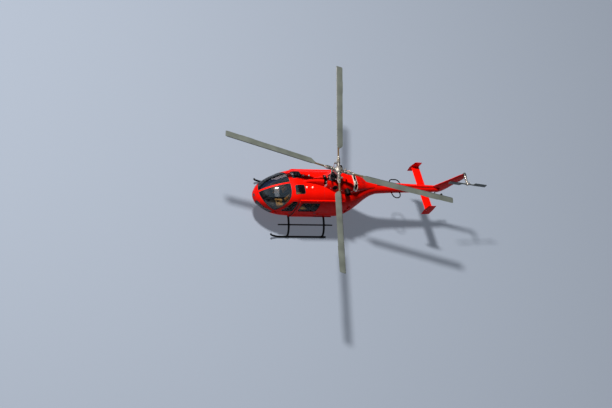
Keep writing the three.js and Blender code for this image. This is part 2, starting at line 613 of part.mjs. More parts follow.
const BLADE_SECTIONS = [
  // radius, width, thickness, twist in degrees, whether it is a wing section
  [BLADE_ROOT_R, 96, 51.4, 0, false], [600, 96, 51.4, 0, false], [660, 68, 44, 2, false], [1000, 70, 40, 4, false],
  [1090, 170, 38, 4, true], [1190, ROTOR_CHORD, 32, 4, true], [ROTOR_RADIUS - 60, ROTOR_CHORD, 32, -3, true],
  [ROTOR_RADIUS, ROTOR_CHORD - 30, 20, -3, true],
];
const BLADE_NAMES = ["front", "left", "rear", "right"];
BLADE_NAMES.forEach((name, k) => {
  const blade = loft(BLADE_SECTIONS.map(([r, width, thickness, twist, wing]) => {
    const t = THREE.MathUtils.degToRad(twist);
    const ring = wing ? wingSection(width, thickness) : neckSection(width, thickness);
    return ring.map(([u, v]) => [r, u * Math.cos(t) - v * Math.sin(t), u * Math.sin(t) + v * Math.cos(t)]);
  }));
  addNode("rotor_blade_" + name, turned(conedUp(blade), k), BLADE, rotor);
});

// Tail rotor, on the left of the fin's tip
const tailRotor = new THREE.Group();
tailRotor.position.copy(TAIL_ROTOR);
helicopter.add(tailRotor);
const tailHub = join(rod([0, -149.5, 0], [0, 40, 0], 30, 30, 16), rod([0, -30, 0], [0, 30, 0], 60, 60, 20),
  box(-150, 150, -22, 22, -30, 30)).rotate(0, THREE.MathUtils.radToDeg(-TAIL_ROTOR_PHASE), 0);
addNode("tail_rotor_hub", tailHub, STEEL, tailRotor);
[["forward", 0], ["aft", 180]].forEach(([name, turn]) => {
  const blade = loft([[150.3, 60, 40, false], [230, 60, 30, false], [330, TAIL_ROTOR_CHORD, 22, true],
    [TAIL_ROTOR_RADIUS, TAIL_ROTOR_CHORD, 18, true]].map(([r, width, thickness, wing]) =>
    (wing ? wingSection(width, thickness) : neckSection(width, thickness)).map(([u, v]) => [r, v, u])));
  addNode("tail_rotor_blade_" + name,
    blade.rotate(0, turn - THREE.MathUtils.radToDeg(TAIL_ROTOR_PHASE), 0), BLADE, tailRotor);
});

// The bounding box's centre comes over the origin
const bounds = new THREE.Box3().setFromObject(helicopter, true);
const middle = bounds.getCenter(new THREE.Vector3());
const root = new THREE.Group();
helicopter.position.set(-middle.x, -middle.y, -bounds.min.z);
root.add(helicopter);
root.updateMatrixWorld(true);

export default root;
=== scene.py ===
# A light twin-engine helicopter with a rigid four-blade rotor, standing on its skids.
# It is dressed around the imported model: every length below is in millimetres about the mast,
# with +X forward, +Y to the helicopter's left and the skids' underside at height 0.
import json
import math

import bpy
import numpy as np
from mathutils import Matrix, Quaternion, Vector

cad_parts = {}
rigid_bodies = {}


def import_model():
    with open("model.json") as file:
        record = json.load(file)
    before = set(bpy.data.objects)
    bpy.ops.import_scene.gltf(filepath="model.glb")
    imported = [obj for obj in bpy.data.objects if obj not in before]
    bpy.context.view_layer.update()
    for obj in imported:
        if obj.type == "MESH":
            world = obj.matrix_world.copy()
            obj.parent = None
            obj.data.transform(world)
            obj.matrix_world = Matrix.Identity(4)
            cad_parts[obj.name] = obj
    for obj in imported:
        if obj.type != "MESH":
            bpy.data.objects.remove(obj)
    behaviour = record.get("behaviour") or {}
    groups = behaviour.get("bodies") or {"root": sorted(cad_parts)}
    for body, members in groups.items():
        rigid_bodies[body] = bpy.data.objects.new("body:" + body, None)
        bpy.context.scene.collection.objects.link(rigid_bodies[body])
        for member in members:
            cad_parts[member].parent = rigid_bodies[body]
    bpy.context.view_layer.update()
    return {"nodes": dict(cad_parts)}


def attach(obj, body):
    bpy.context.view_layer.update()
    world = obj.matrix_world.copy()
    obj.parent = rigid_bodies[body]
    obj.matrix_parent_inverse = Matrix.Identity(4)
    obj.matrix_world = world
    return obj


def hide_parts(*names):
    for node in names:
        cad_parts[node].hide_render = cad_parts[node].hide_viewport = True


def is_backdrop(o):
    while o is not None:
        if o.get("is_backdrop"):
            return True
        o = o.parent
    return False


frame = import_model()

# Millimetres in metres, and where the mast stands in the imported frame
MM = 0.001
MAST_X = 1.0838497619628906
SIDES = {"left": 1, "right": -1}


def at(x, y, z):
    """A place in millimetres about the mast, in the frame's metres."""
    return Vector((x * MM + MAST_X, y * MM, z * MM))


# Camera: the photograph's viewing angle, from far ahead, above and to the left, with its roll
PHOTO_WIDTH = 612
HUB = at(0, 0, 2917)
HUB_PIXEL = (338.4, 170.4)
PHOTO_CENTRE = (306, 204)
CAMERA_DISTANCE = 122.0
PIXELS_PER_METRE = 26.003
IMAGE_RIGHT = Vector((-0.84633498, 0.2691947, 0.45962085))
IMAGE_DOWN = Vector((-0.01944484, 0.84670336, -0.5317098))
INTO_IMAGE = Vector((-0.53229598, -0.45894185, -0.71136022))
SENSOR_WIDTH = 36.0

camera_data = bpy.data.cameras.new("camera")
camera_data.sensor_width = SENSOR_WIDTH
camera_data.lens = CAMERA_DISTANCE * PIXELS_PER_METRE / PHOTO_WIDTH * SENSOR_WIDTH
camera_data.shift_x = (PHOTO_CENTRE[0] - HUB_PIXEL[0]) / PHOTO_WIDTH
camera_data.shift_y = (HUB_PIXEL[1] - PHOTO_CENTRE[1]) / PHOTO_WIDTH
camera_data.clip_end = 1000.0
camera = bpy.data.objects.new("camera", camera_data)
bpy.context.scene.collection.objects.link(camera)
axes = Matrix((IMAGE_RIGHT, -IMAGE_DOWN, -INTO_IMAGE)).transposed().to_4x4()
camera.matrix_world = Matrix.Translation(HUB - INTO_IMAGE * CAMERA_DISTANCE) @ axes
bpy.context.scene.camera = camera
bpy.context.scene.view_settings.view_transform = "Standard"


# Helpers: selection, primitives, cutting and joining
def only(obj):
    """Makes one object the selected and active one."""
    bpy.ops.object.select_all(action="DESELECT")
    obj.select_set(True)
    bpy.context.view_layer.objects.active = obj
    return obj


def placed(name):
    """Names the primitive that was just added, and moves its place into its mesh."""
    obj = bpy.context.active_object
    obj.name = name
    obj.data.name = name
    bpy.ops.object.transform_apply(location=True, rotation=True, scale=True)
    return obj


def edit(obj):
    """Opens one object in edit mode with everything selected."""
    only(obj)
    bpy.ops.object.mode_set(mode="EDIT")
    bpy.ops.mesh.select_all(action="SELECT")


def close():
    bpy.ops.object.mode_set(mode="OBJECT")


def modify(obj, kind, **settings):
    """Adds a modifier with its settings and applies it."""
    only(obj)
    modifier = obj.modifiers.new(kind.lower(), kind)
    for name, value in settings.items():
        setattr(modifier, name, value)
    bpy.ops.object.modifier_apply(modifier=modifier.name)
    return obj


def soften(obj, width, segments=2, angle=30):
    """Rounds the sharp edges of a piece."""
    return modify(obj, "BEVEL", width=width * MM, segments=segments, limit_method="ANGLE",
                  angle_limit=math.radians(angle), harden_normals=False)


def carve(obj, *cutters, operation="DIFFERENCE"):
    """Cuts one piece with others, which are used up."""
    for cutter in cutters:
        modify(obj, "BOOLEAN", operation=operation, object=cutter, solver="MANIFOLD")
        bpy.data.objects.remove(cutter)
    return obj


def within(obj, cutter):
    """Keeps only what lies inside the cutter, which is used up."""
    return carve(obj, cutter, operation="INTERSECT")


def copied(obj, name):
    """A copy with a mesh of its own."""
    twin = obj.copy()
    twin.data = obj.data.copy()
    twin.name = name
    twin.data.name = name
    bpy.context.scene.collection.objects.link(twin)
    return twin


def fused(name, *pieces):
    """Several pieces as one object, each keeping its own shell."""
    only(pieces[0])
    for piece in pieces[1:]:
        piece.select_set(True)
    if len(pieces) > 1:
        bpy.ops.object.join()
    obj = bpy.context.active_object
    obj.name = name
    obj.data.name = name
    return obj


def moved(obj, matrix):
    """Moves a piece's mesh, and turns its faces out again if the move mirrors it."""
    obj.data.transform(matrix)
    if matrix.determinant() < 0:
        obj.data.flip_normals()
    obj.data.update()
    return obj


def mirrored(obj, name):
    """The same piece on the helicopter's other side."""
    return moved(copied(obj, name), Matrix.Scale(-1, 4, (0, 1, 0)))


def about_mast(angle, axis="Z"):
    """A turn about the mast, or about another axis through its foot."""
    foot = at(0, 0, 0)
    return Matrix.Translation(foot) @ Matrix.Rotation(angle, 4, axis) @ Matrix.Translation(-foot)


def block(name, low, high, bevel=0, segments=2):
    """A box between two corners, with its edges rounded."""
    middle = (at(*low) + at(*high)) / 2
    size = [abs(b - a) * MM for a, b in zip(low, high)]
    bpy.ops.mesh.primitive_cube_add(size=1, location=middle, scale=size)
    obj = placed(name)
    return soften(obj, bevel, segments) if bevel else obj


def rod(name, start, end, radius, end_radius=None, sides=24, bevel=0):
    """A round bar between two places, straight or tapered."""
    a, b = at(*start), at(*end)
    bpy.ops.mesh.primitive_cone_add(
        vertices=sides, radius1=radius * MM, radius2=(radius if end_radius is None else end_radius) * MM,
        depth=(b - a).length, location=(a + b) / 2, rotation=(b - a).to_track_quat("Z", "Y").to_euler())
    obj = placed(name)
    return soften(obj, bevel, 2, 50) if bevel else obj


def turned(name, start, axis, profile, sides=32):
    """A turned form: a disc drawn out ring by ring through (distance along the axis, radius)."""
    first_height, first_radius = profile[0]
    bpy.ops.mesh.primitive_circle_add(vertices=sides, radius=first_radius * MM, fill_type="NGON",
                                      location=(0, 0, first_height * MM))
    obj = placed(name)
    bpy.ops.object.mode_set(mode="EDIT")
    bpy.ops.mesh.select_all(action="SELECT")
    height, radius = first_height, first_radius
    for next_height, next_radius in profile[1:]:
        bpy.ops.mesh.extrude_region_move(
            TRANSFORM_OT_translate={"value": (0, 0, (next_height - height) * MM)})
        share = max(next_radius, 0.05) / max(radius, 0.05)
        bpy.ops.transform.resize(value=(share, share, 1))
        height, radius = next_height, next_radius
    bpy.ops.mesh.select_all(action="SELECT")
    bpy.ops.mesh.remove_doubles(threshold=1e-6)
    bpy.ops.mesh.normals_make_consistent(inside=False)
    close()
    turn = Vector(axis).normalized().to_track_quat("Z", "Y").to_matrix().to_4x4()
    return moved(obj, Matrix.Translation(at(*start)) @ turn)


def ball(name, centre, radius, stretch=(1, 1, 1), segments=24, rings=14):
    bpy.ops.mesh.primitive_uv_sphere_add(segments=segments, ring_count=rings, radius=radius * MM,
                                         location=at(*centre), scale=stretch)
    return placed(name)


def tube(name, points, radius, sides=12, smooth=6):
    """A bent round tube along a smooth curve through the points, with closed ends."""
    curve = bpy.data.curves.new(name, "CURVE")
    curve.dimensions = "3D"
    curve.bevel_depth = radius * MM
    curve.bevel_resolution = max(1, sides // 4)
    curve.use_fill_caps = True
    line = curve.splines.new("NURBS" if smooth else "POLY")
    line.points.add(len(points) - 1)
    for point, place in zip(line.points, points):
        point.co = (*at(*place), 1)
    if smooth:
        line.use_endpoint_u = True
        line.order_u = min(4, len(points))
        line.resolution_u = smooth
    obj = bpy.data.objects.new(name, curve)
    bpy.context.scene.collection.objects.link(obj)
    only(obj)
    bpy.ops.object.convert(target="MESH")
    obj = bpy.context.active_object
    edit(obj)
    bpy.ops.mesh.remove_doubles(threshold=1e-6)
    bpy.ops.mesh.normals_make_consistent(inside=False)
    close()
    return obj


PLANES = {
    "side": lambda u, v, w: (u, w, v),
    "front": lambda u, v, w: (w, u, v),
    "top": lambda u, v, w: (u, v, w),
}


def prism(plane, outline, start, end, corner=0, name="cutter", segments=6):
    """A prism of an outline: "side" takes x, z and runs along Y; "front" takes y, z; "top" takes x, y."""
    bpy.ops.mesh.primitive_circle_add(vertices=len(outline), fill_type="NGON")
    obj = placed(name)
    for vertex, (u, v) in zip(obj.data.vertices, outline):
        vertex.co = at(*PLANES[plane](u, v, start))
    edit(obj)
    if corner:
        bpy.ops.mesh.bevel(offset=corner * MM, segments=segments, affect="VERTICES", clamp_overlap=True)
        bpy.ops.mesh.select_all(action="SELECT")
    along = Vector(PLANES[plane](0, 0, end - start)) * MM
    bpy.ops.mesh.extrude_region_move(TRANSFORM_OT_translate={"value": along})
    bpy.ops.mesh.select_all(action="SELECT")
    bpy.ops.mesh.normals_make_consistent(inside=False)
    close()
    return obj


def inset(outline, distance):
    """The outline moved inwards by a distance, corner by corner."""
    corners = [Vector(p) for p in outline]
    count = len(corners)
    area = sum(a.x * b.y - b.x * a.y for a, b in zip(corners, corners[1:] + corners[:1]))
    side = 1 if area > 0 else -1
    moved_corners = []
    for i, here in enumerate(corners):
        before = (here - corners[i - 1]).normalized()
        after = (corners[(i + 1) % count] - here).normalized()
        n = Vector((-before.y, before.x)) * side
        m = Vector((-after.y, after.x)) * side
        moved_corners.append(tuple(here + (n + m) * (distance / (1 + n.dot(m)))))
    return moved_corners


def flank(side, outline, corner=0, near=250, far=1100, name="cutter"):
    """A prism through one flank of the body, from an outline of x, z."""
    return prism("side", outline, near * side, far * side, corner, name)


def skin(name, rings, caps=True):
    """A skin through rings of points: a grid laid row by row on the rings, seamed, and capped at its ends."""
    across, along = len(rings[0]), len(rings)
    bpy.ops.mesh.primitive_grid_add(x_subdivisions=across, y_subdivisions=along - 1)
    obj = placed(name)
    places = [at(*p) for ring in rings for p in [*ring, ring[0]]]
    obj.data.vertices.foreach_set("co", [c for place in places for c in place])
    edit(obj)
    bpy.ops.mesh.remove_doubles(threshold=1e-7)
    if caps:
        bpy.ops.mesh.select_all(action="DESELECT")
        bpy.ops.mesh.select_mode(type="EDGE")
        bpy.ops.mesh.select_non_manifold()
        bpy.ops.mesh.fill_holes(sides=0)
    bpy.ops.mesh.select_all(action="SELECT")
    bpy.ops.mesh.normals_make_consistent(inside=False)
    close()
    return obj


def between(table, count):
    """Rows evenly spaced on a smooth curve through the table's rows, which never swings past them."""
    rows = np.array(table, float)
    lengths = np.linalg.norm(np.diff(rows, axis=0), axis=1)
    stations = np.concatenate([[0], np.cumsum(lengths)])
    slopes = np.diff(rows, axis=0) / lengths[:, None]
    tangents = np.zeros_like(rows)
    tangents[0], tangents[-1] = slopes[0], slopes[-1]
    for i in range(1, len(rows) - 1):
        a, b = 2 * lengths[i] + lengths[i - 1], lengths[i] + 2 * lengths[i - 1]
        level = slopes[i - 1] * slopes[i] <= 0
        before, after = np.where(level, 1, slopes[i - 1]), np.where(level, 1, slopes[i])
        tangents[i] = np.where(level, 0, (a + b) / (a / before + b / after))
    made = []
    for s in np.linspace(0, stations[-1], count):
        i = min(np.searchsorted(stations, s, side="right") - 1, len(rows) - 2)
        h = lengths[i]
        t = (s - stations[i]) / h
        made.append((2 * t**3 - 3 * t**2 + 1) * rows[i] + (t**3 - 2 * t**2 + t) * h * tangents[i]
                    + (3 * t**2 - 2 * t**3) * rows[i + 1] + (t**3 - t**2) * h * tangents[i + 1])
    return [list(row) for row in made]


def super_ring(x, half_width, bottom, waist, top, bottom_power, top_power, count):
    """One ring of the body: superellipse halves that meet at the waist."""
    ring = []
    for i in range(count):
        a = 2 * math.pi * (i + 0.5) / count
        c, s = math.cos(a), math.sin(a)
        power = 2 / (bottom_power if s < 0 else top_power)
        height = waist - bottom if s < 0 else top - waist
        ring.append((x, math.copysign(half_width * abs(c) ** power, c),
                     waist + math.copysign(height * abs(s) ** power, s)))
    return ring


# Materials, each named for what the real one is
def linear(hex_colour):
    """An sRGB hex colour as linear RGBA."""
    values = [int(hex_colour[i:i + 2], 16) / 255 for i in (1, 3, 5)]
    return [v / 12.92 if v <= 0.04045 else ((v + 0.055) / 1.055) ** 2.4 for v in values] + [1.0]


def add_node(tree, kind, inputs=None, **settings):
    """Adds a node with its settings; each input is a value or another node's socket."""
    node = tree.nodes.new("ShaderNode" + kind)
    for name, value in settings.items():
        setattr(node, name, value)
    for name, value in (inputs or {}).items():
        if isinstance(value, bpy.types.NodeSocket):
            tree.links.new(value, node.inputs[name])
        else:
            node.inputs[name].default_value = value
    return node


def new_material(name, **values):
    """A material with its tree, shader and the object's own coordinates; values go on its sockets."""
    material = bpy.data.materials.new(name)
    material.use_nodes = True
    tree = material.node_tree
    shader = tree.nodes["Principled BSDF"]
    for socket, value in values.items():
        shader.inputs[socket.replace("_", " ")].default_value = value
    place = add_node(tree, "TexCoord").outputs["Object"]
    return material, tree, shader, place


def per_metre(millimetres):
    """The scale of a pattern whose repeat is that long."""
    return 1000 / millimetres


def patches(tree, place, repeat, spread=0.2, detail=4.0):
    """Soft patches of a size in millimetres, from 0 to 1."""
    noise = add_node(tree, "TexNoise", {"Vector": place, "Scale": per_metre(repeat), "Detail": detail})
    return add_node(tree, "MapRange", {"Value": noise.outputs["Fac"], "From Min": 0.5 - spread,
                                       "From Max": 0.5 + spread}).outputs["Result"]


def mixed(tree, factor, a, b):
    """Two colours, given as hex values or sockets, mixed by a factor."""
    a, b = [linear(c) if isinstance(c, str) else c for c in (a, b)]
    return add_node(tree, "Mix", {"Factor": factor, "A": a, "B": b}, data_type="RGBA").outputs["Result"]


def colour_by(tree, shader, colour):
    tree.links.new(colour, shader.inputs["Base Color"])


def rough_by(tree, shader, factor, low, high):
    """Roughness that runs from low to high with a factor."""
    span = add_node(tree, "MapRange", {"Value": factor, "To Min": low, "To Max": high})
    tree.links.new(span.outputs["Result"], shader.inputs["Roughness"])


def bumped(tree, shader, height_socket, height):
    """An unevenness of the surface, its height in millimetres."""
    bump = add_node(tree, "Bump", {"Height": height_socket, "Distance": height * MM, "Strength": 1.0})
    tree.links.new(bump.outputs["Normal"], shader.inputs["Normal"])


def noise_height(tree, place, repeat, detail=2.0):
    return add_node(tree, "TexNoise", {"Vector": place, "Scale": per_metre(repeat),
                                       "Detail": detail}).outputs["Fac"]


def stretched(tree, place, x, y, z):
    """Coordinates drawn out, so that a pattern runs in streaks."""
    return add_node(tree, "Mapping", {"Vector": place, "Scale": (x, y, z)}).outputs["Vector"]


def band_along(tree, place, axis, start, end):
    """A factor that rises from 0 to 1 between two places along X, Y or Z, in millimetres about the mast."""
    shift = MAST_X if axis == "X" else 0
    value = add_node(tree, "SeparateXYZ", {"Vector": place}).outputs[axis]
    return add_node(tree, "MapRange",
                    {"Value": value, "From Min": start * MM + shift, "From Max": end * MM + shift},
                    interpolation_type="SMOOTHSTEP").outputs["Result"]


# Two-pack polyurethane enamel sprayed over sheet alloy: a deep gloss, faintly uneven like orange peel, and
# dulled a little where the exhausts' soot settles over the rear deck. The orange peel is drawn coarse, so
# that it shows.
ENAMEL_RED, tree, shader, place = new_material("polyurethane_enamel_red", IOR=1.5, Coat_Weight=0.06,
                                               Coat_Roughness=0.05, Specular_IOR_Level=0.03)
body_colour = mixed(tree, patches(tree, place, 800), "#d50b03", "#e81005")
streaks = patches(tree, stretched(tree, place, 0.25, 1, 1), 90, 0.12)
soot_zone = add_node(tree, "Math", {0: band_along(tree, place, "X", -700, -1300),
                                    1: band_along(tree, place, "Z", 1900, 2250)},
                     operation="MULTIPLY").outputs["Value"]
soot = add_node(tree, "Math", {0: soot_zone, 1: streaks}, operation="MULTIPLY").outputs["Value"]
soot_share = add_node(tree, "Math", {0: soot, 1: 0.45}, operation="MULTIPLY").outputs["Value"]
colour_by(tree, shader, mixed(tree, soot_share, body_colour, "#3a0e08"))
rough_by(tree, shader, patches(tree, place, 300), 0.24, 0.36)
bumped(tree, shader, noise_height(tree, place, 220), 0.8)

# Stretched acrylic: clear seen straight on, a mirror seen aslant, with faint wiping marks in its sheen. It
# lets straight light through by its alpha, so that the cabin behind it is lit. The smoked sheet's IOR is set
# above the acrylic's own, because only the share that isn't let through can mirror the sky.
ACRYLIC_IOR = 1.49


def acrylic(name, colour, aslant_from, clear, mirrored_share, **values):
    """A sheet whose alpha runs from clear to mirrored_share as its Fresnel share nears aslant_from."""
    material, tree, shader, place = new_material(name, Base_Color=linear(colour), **values)
    rough_by(tree, shader, patches(tree, stretched(tree, place, 1, 3, 1), 260), 0.02, 0.06)
    share = add_node(tree, "Fresnel", {"IOR": ACRYLIC_IOR}).outputs["Fac"]
    sheet = add_node(tree, "MapRange", {"Value": share, "From Min": 0.03, "From Max": aslant_from,
                                        "To Min": clear, "To Max": mirrored_share})
    tree.links.new(sheet.outputs["Result"], shader.inputs["Alpha"])
    return material


# Lightly smoked for the windscreen, chin and roof, and clearer for the doors, so that the seats show through
GLAZING = acrylic("acrylic_sheet_smoked", "#080c12", 0.5, 0.3, 0.9, IOR=1.8, Specular_IOR_Level=1.0)
CLEAR_GLAZING = acrylic("acrylic_sheet_clear", "#10151a", 0.6, 0.06, 0.7, IOR=ACRYLIC_IOR)


def patchy(name, colours, roughness=None, grain=None, **values):
    """A material that varies in patches: a repeat and two colours, a repeat and two roughnesses, and a
    grain of one repeat and height. Its values go on the shader's sockets."""
    material, tree, shader, place = new_material(name, **values)
    repeat, first, second, *spread = colours
    colour_by(tree, shader, mixed(tree, patches(tree, place, repeat, *spread), first, second))
    if roughness:
        repeat, low, high = roughness
        rough_by(tree, shader, patches(tree, place, repeat), low, high)
    if grain:
        repeat, height = grain
        bumped(tree, shader, noise_height(tree, place, repeat), height)
    return material


# Extruded rubber section round the panes: matt, near black, greying with age
RUBBER = patchy("chloroprene_rubber_black", (120, "#0c0d0f", "#1c1d1f"), (60, 0.6, 0.8), IOR=1.52)

# Cabin lining: embossed vinyl on foam board, dark grey and matt
LINING = patchy("vinyl_lining_dark_grey", (300, "#25282b", "#31353a"), grain=(12, 1.0),
                IOR=1.5, Roughness=0.75)

# Steel sheet scaled by heat: nearly black, with faint brown patches
STEEL_SCALED = patchy("steel_sheet_heat_scaled", (60, "#070606", "#110c09"), (30, 0.45, 0.7),
                      IOR=1.6, Specular_IOR_Level=0.06)

# Fully matt black: carbon soot burnt onto the inside of the pipes, and soot with painted shade on the
# outlet's floor
# and the louvres; in the intake's recess and grille and on the oil cooler screens it is painted shade only
SOOT_AND_SHADE_BLACK = patchy("carbon_soot_black", (40, "#050505", "#141312"),
              Roughness=0.95, IOR=1.45, Specular_IOR_Level=0.1)

# Glass-fibre blade skin under matt erosion-resistant paint, chalked in streaks along the span
BLADE_GREY, tree, shader, place = new_material("polyurethane_paint_blade_grey", IOR=1.5)
chalk = patches(tree, place, 500, 0.25)
colour_by(tree, shader, mixed(tree, chalk, "#4c5350", "#606864"))
rough_by(tree, shader, chalk, 0.38, 0.52)
bumped(tree, shader, noise_height(tree, place, 30), 0.4)

# Blade neck of wound glass fibre in bronze primer: brown, satin
NECK_BRONZE, tree, shader, place = new_material("glass_fibre_bronze_primer", IOR=1.5, Roughness=0.42)
colour_by(tree, shader, mixed(tree, patches(tree, place, 80), "#4a3a26", "#6b5638"))
bumped(tree, shader, noise_height(tree, stretched(tree, place, 1, 6, 6), 40), 0.5)

# Stainless erosion strip, polished by rain and dust: bright, brushed along the chord
STAINLESS_STRIP, tree, shader, place = new_material("stainless_steel_erosion_strip", Metallic=1.0,
                                                    Base_Color=linear("#a9aaa6"))
rough_by(tree, shader, patches(tree, stretched(tree, place, 4, 4, 1), 90), 0.22, 0.42)

# Silver lacquer with aluminium flake over hot sheet metal: pale, satin, stained brown in patches
SILVER_LACQUER, tree, shader, place = new_material("aluminium_flake_lacquer_silver", IOR=1.5, Metallic=0.3)
stain = patches(tree, place, 130, 0.12)
colour_by(tree, shader, mixed(tree, stain, "#f1efea", "#cfc6b8"))
rough_by(tree, shader, stain, 0.35, 0.5)

# Titanium forging, shot-peened: pale warm grey, satin, darker in oily patches
TITANIUM = patchy("titanium_forging_shot_peened", (110, "#aaa6a0", "#dad6cf"), (60, 0.38, 0.55), (8, 0.3),
                  Metallic=1.0)

# The rotor head's own forging, grey from its sealing coat and from oil
SEALED_FORGING = patchy("titanium_forging_sealed", (90, "#73706c", "#c0bbb3"), (60, 0.42, 0.6), (8, 0.3),
                        Metallic=1.0)

# Steel links and bolts with a passivated zinc plate: bright, faintly straw-coloured
PLATED_STEEL = patchy("zinc_plated_steel", (30, "#b3aa90", "#d2cdc0"), (20, 0.25, 0.4), Metallic=1.0)

# Cast aluminium housings: silver-grey, sand-cast grain, stained by oil
CAST_ALLOY = patchy("cast_aluminium_sand", (140, "#6f7072", "#a5a7a9"), (50, 0.42, 0.6), (5, 0.4),
                    Metallic=1.0)

# Black anodised and oxide-finished parts: swashplate, actuators, handles, the tail gearbox
BLACK_OXIDE = patchy("anodised_aluminium_black", (60, "#121316", "#24262a"), (40, 0.35, 0.5), IOR=1.6)

# Skid tubes in epoxy powder coat: satin black, rubbed towards grey low down where they meet the ground
POWDER_BLACK, tree, shader, place = new_material("epoxy_powder_coat_black", IOR=1.5, Specular_IOR_Level=0.15)
rub = add_node(tree, "Math", {0: band_along(tree, place, "Z", 30, 4), 1: patches(tree, place, 90)},
               operation="MULTIPLY").outputs["Value"]
powder = mixed(tree, patches(tree, place, 200), "#030405", "#090b0d")
colour_by(tree, shader, mixed(tree, rub, powder, "#2c2d2f"))
rough_by(tree, shader, patches(tree, place, 120), 0.32, 0.46)

# Grit tape on the steps: coarse black grains
GRIT_TAPE = patchy("mineral_grit_tape_black", (6, "#0c0c0d", "#343536", 0.1), grain=(5, 1.5), Roughness=0.9,
                   IOR=1.5)

# Full-grain leather, aniline-dyed tan: warm, satin, with a fine pebbled grain and paler worn patches
LEATHER_TAN, tree, shader, place = new_material("leather_full_grain_tan", IOR=1.45, Sheen_Weight=0.15)
colour_by(tree, shader, mixed(tree, patches(tree, place, 150), "#d39a46", "#ecbb66"))
rough_by(tree, shader, patches(tree, place, 60), 0.5, 0.68)
grain = add_node(tree, "TexVoronoi", {"Vector": place, "Scale": per_metre(7)}, feature="DISTANCE_TO_EDGE")
bumped(tree, shader, grain.outputs["Distance"], 1.2)

# Roof vents' domes: moulded white polycarbonate, a little yellowed
DOME_WHITE = patchy("polycarbonate_moulded_white", (40, "#f4f2ea", "#e4e0d2"), (30, 0.2, 0.35),
                    IOR=1.58, Coat_Weight=0.5)

# Harness webbing: woven polyester, charcoal, ribbed across every 3 mm
WEBBING, tree, shader, place = new_material("polyester_webbing_charcoal", Roughness=0.8,
                                            IOR=1.5, Sheen_Weight=0.2)
ribs = add_node(tree, "TexWave", {"Vector": place, "Scale": per_metre(3) / 6.28}, bands_direction="Z")
colour_by(tree, shader, mixed(tree, ribs.outputs["Fac"], "#1d1f22", "#33363a"))
bumped(tree, shader, ribs.outputs["Fac"], 0.6)

# Moulded ABS trim: charcoal with a spark-eroded grain
ABS_CHARCOAL = patchy("abs_moulded_charcoal", (200, "#1b1d20", "#25282b"), (40, 0.5, 0.62), (3, 0.3),
                      IOR=1.53)

# Tufted nylon carpet on the cabin floor: brown loops, each about 4 mm, drawn 8 mm so that they show
CARPET, tree, shader, place = new_material("nylon_carpet_brown", Roughness=0.95, IOR=1.5, Sheen_Weight=0.3)
loops = add_node(tree, "TexVoronoi", {"Vector": place, "Scale": per_metre(8)})
colour_by(tree, shader, mixed(tree, loops.outputs["Distance"], "#4a4032", "#282219"))
bumped(tree, shader, loops.outputs["Distance"], 3.0)

# Polycarbonate lamp lenses over bright reflectors
LENS = {}
for lens_name, lens_colour in {"red": "#c01008", "green": "#0a8f3a", "clear": "#e9eef2"}.items():
    LENS[lens_name], tree, shader, place = new_material("polycarbonate_lens_" + lens_name, IOR=1.58,
                                                        Coat_Weight=1.0, Coat_Roughness=0.02)
    facets = add_node(tree, "TexVoronoi", {"Vector": place, "Scale": per_metre(16)})
    colour_by(tree, shader, mixed(tree, facets.outputs["Distance"], lens_colour, "#ffffff"))
    rough_by(tree, shader, facets.outputs["Distance"], 0.08, 0.2)

# Instrument faces: matt black enamel discs behind glass
DIAL_FACE = patchy("enamelled_dial_black", (20, "#08090a", "#131416"), (20, 0.3, 0.5),
                   IOR=1.5, Coat_Weight=1.0, Coat_Roughness=0.03)


def refinish(obj, material):
    """Gives a piece one material in place of those it has."""
    obj.data.materials.clear()
    obj.data.materials.append(material)


def smooth(obj, angle=35):
    only(obj)
    bpy.ops.object.shade_smooth_by_angle(angle=math.radians(angle))
    return obj


def paint_it(obj, material, body, slot=None, *nodes, name=None):
    """Finishes a piece: its name, material and smoothing, the body it rides on, and what it stands for."""
    obj.name = name or obj.name
    refinish(obj, material)
    smooth(obj)
    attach(obj, body)
    if nodes:
        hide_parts(*nodes)
    return obj


def repaint(obj, material, wanted):
    """Gives another material to the faces whose centre and normal are wanted."""
    obj.data.materials.append(material)
    index = len(obj.data.materials) - 1
    for face in obj.data.polygons:
        if wanted(face.center, face.normal):
            face.material_index = index
    return obj


# The body's tables, as in the part's source
WALL = 35
GLASS_DEPTH = 10
GLASS = 8
POD = [
    # x, half width, bottom, waist, top, bottom power, top power
    (2820, 60, 990, 1050, 1110, 2.0, 2.0), (2785, 205, 860, 1055, 1240, 2.1, 2.0),
    (2700, 340, 750, 1065, 1375, 2.3, 2.0), (2560, 470, 672, 1080, 1520, 2.6, 2.1),
    (2360, 592, 620, 1100, 1675, 2.9, 2.2), (2080, 700, 592, 1120, 1835, 3.3, 2.35),
    (1700, 770, 582, 1150, 1985, 3.7, 2.6), (1340, 790, 580, 1180, 2090, 3.9, 2.9),
    (-650, 790, 580, 1180, 2090, 3.9, 2.9), (-950, 767, 596, 1220, 2090, 3.5, 2.9),
    (-1220, 705, 725, 1310, 2058, 3.0, 2.7), (-1500, 582, 950, 1440, 2045, 2.6, 2.4),
    (-1780, 430, 1210, 1580, 2025, 2.2, 2.1), (-2050, 312, 1400, 1690, 2005, 2.0, 2.0),
    (-2300, 250, 1490, 1740, 1990, 2.0, 2.0),
]
NOSE_X, CABIN_FRONT_X = 2820, 1340
WINDSCREEN = [(2720, 1292), (2575, 1236), (2380, 1140), (2105, 1062), (1790, 1640), (1715, 1800),
              (1680, 1990), (1675, 2400), (3000, 2400), (3000, 1330)]
POST_HALF_WIDTH = 32
FRONT_DOOR = [(2100, 860), (2060, 960), (1695, 1640), (1600, 1790), (1340, 1800), (1340, 700), (2010, 700)]
FRONT_PANE = [(1915, 1110), (1665, 1600), (1600, 1725), (1400, 1735), (1400, 1150)]
SLIDE_DOOR = [(1320, 1790), (1320, 690), (300, 690), (300, 1790)]
SLIDE_PANE = [(1225, 1722), (1225, 1210), (385, 1210), (385, 1722)]
DOOR_CORNER = 70
DOOR_GAP, SEAT_GAP = 5, 0.3
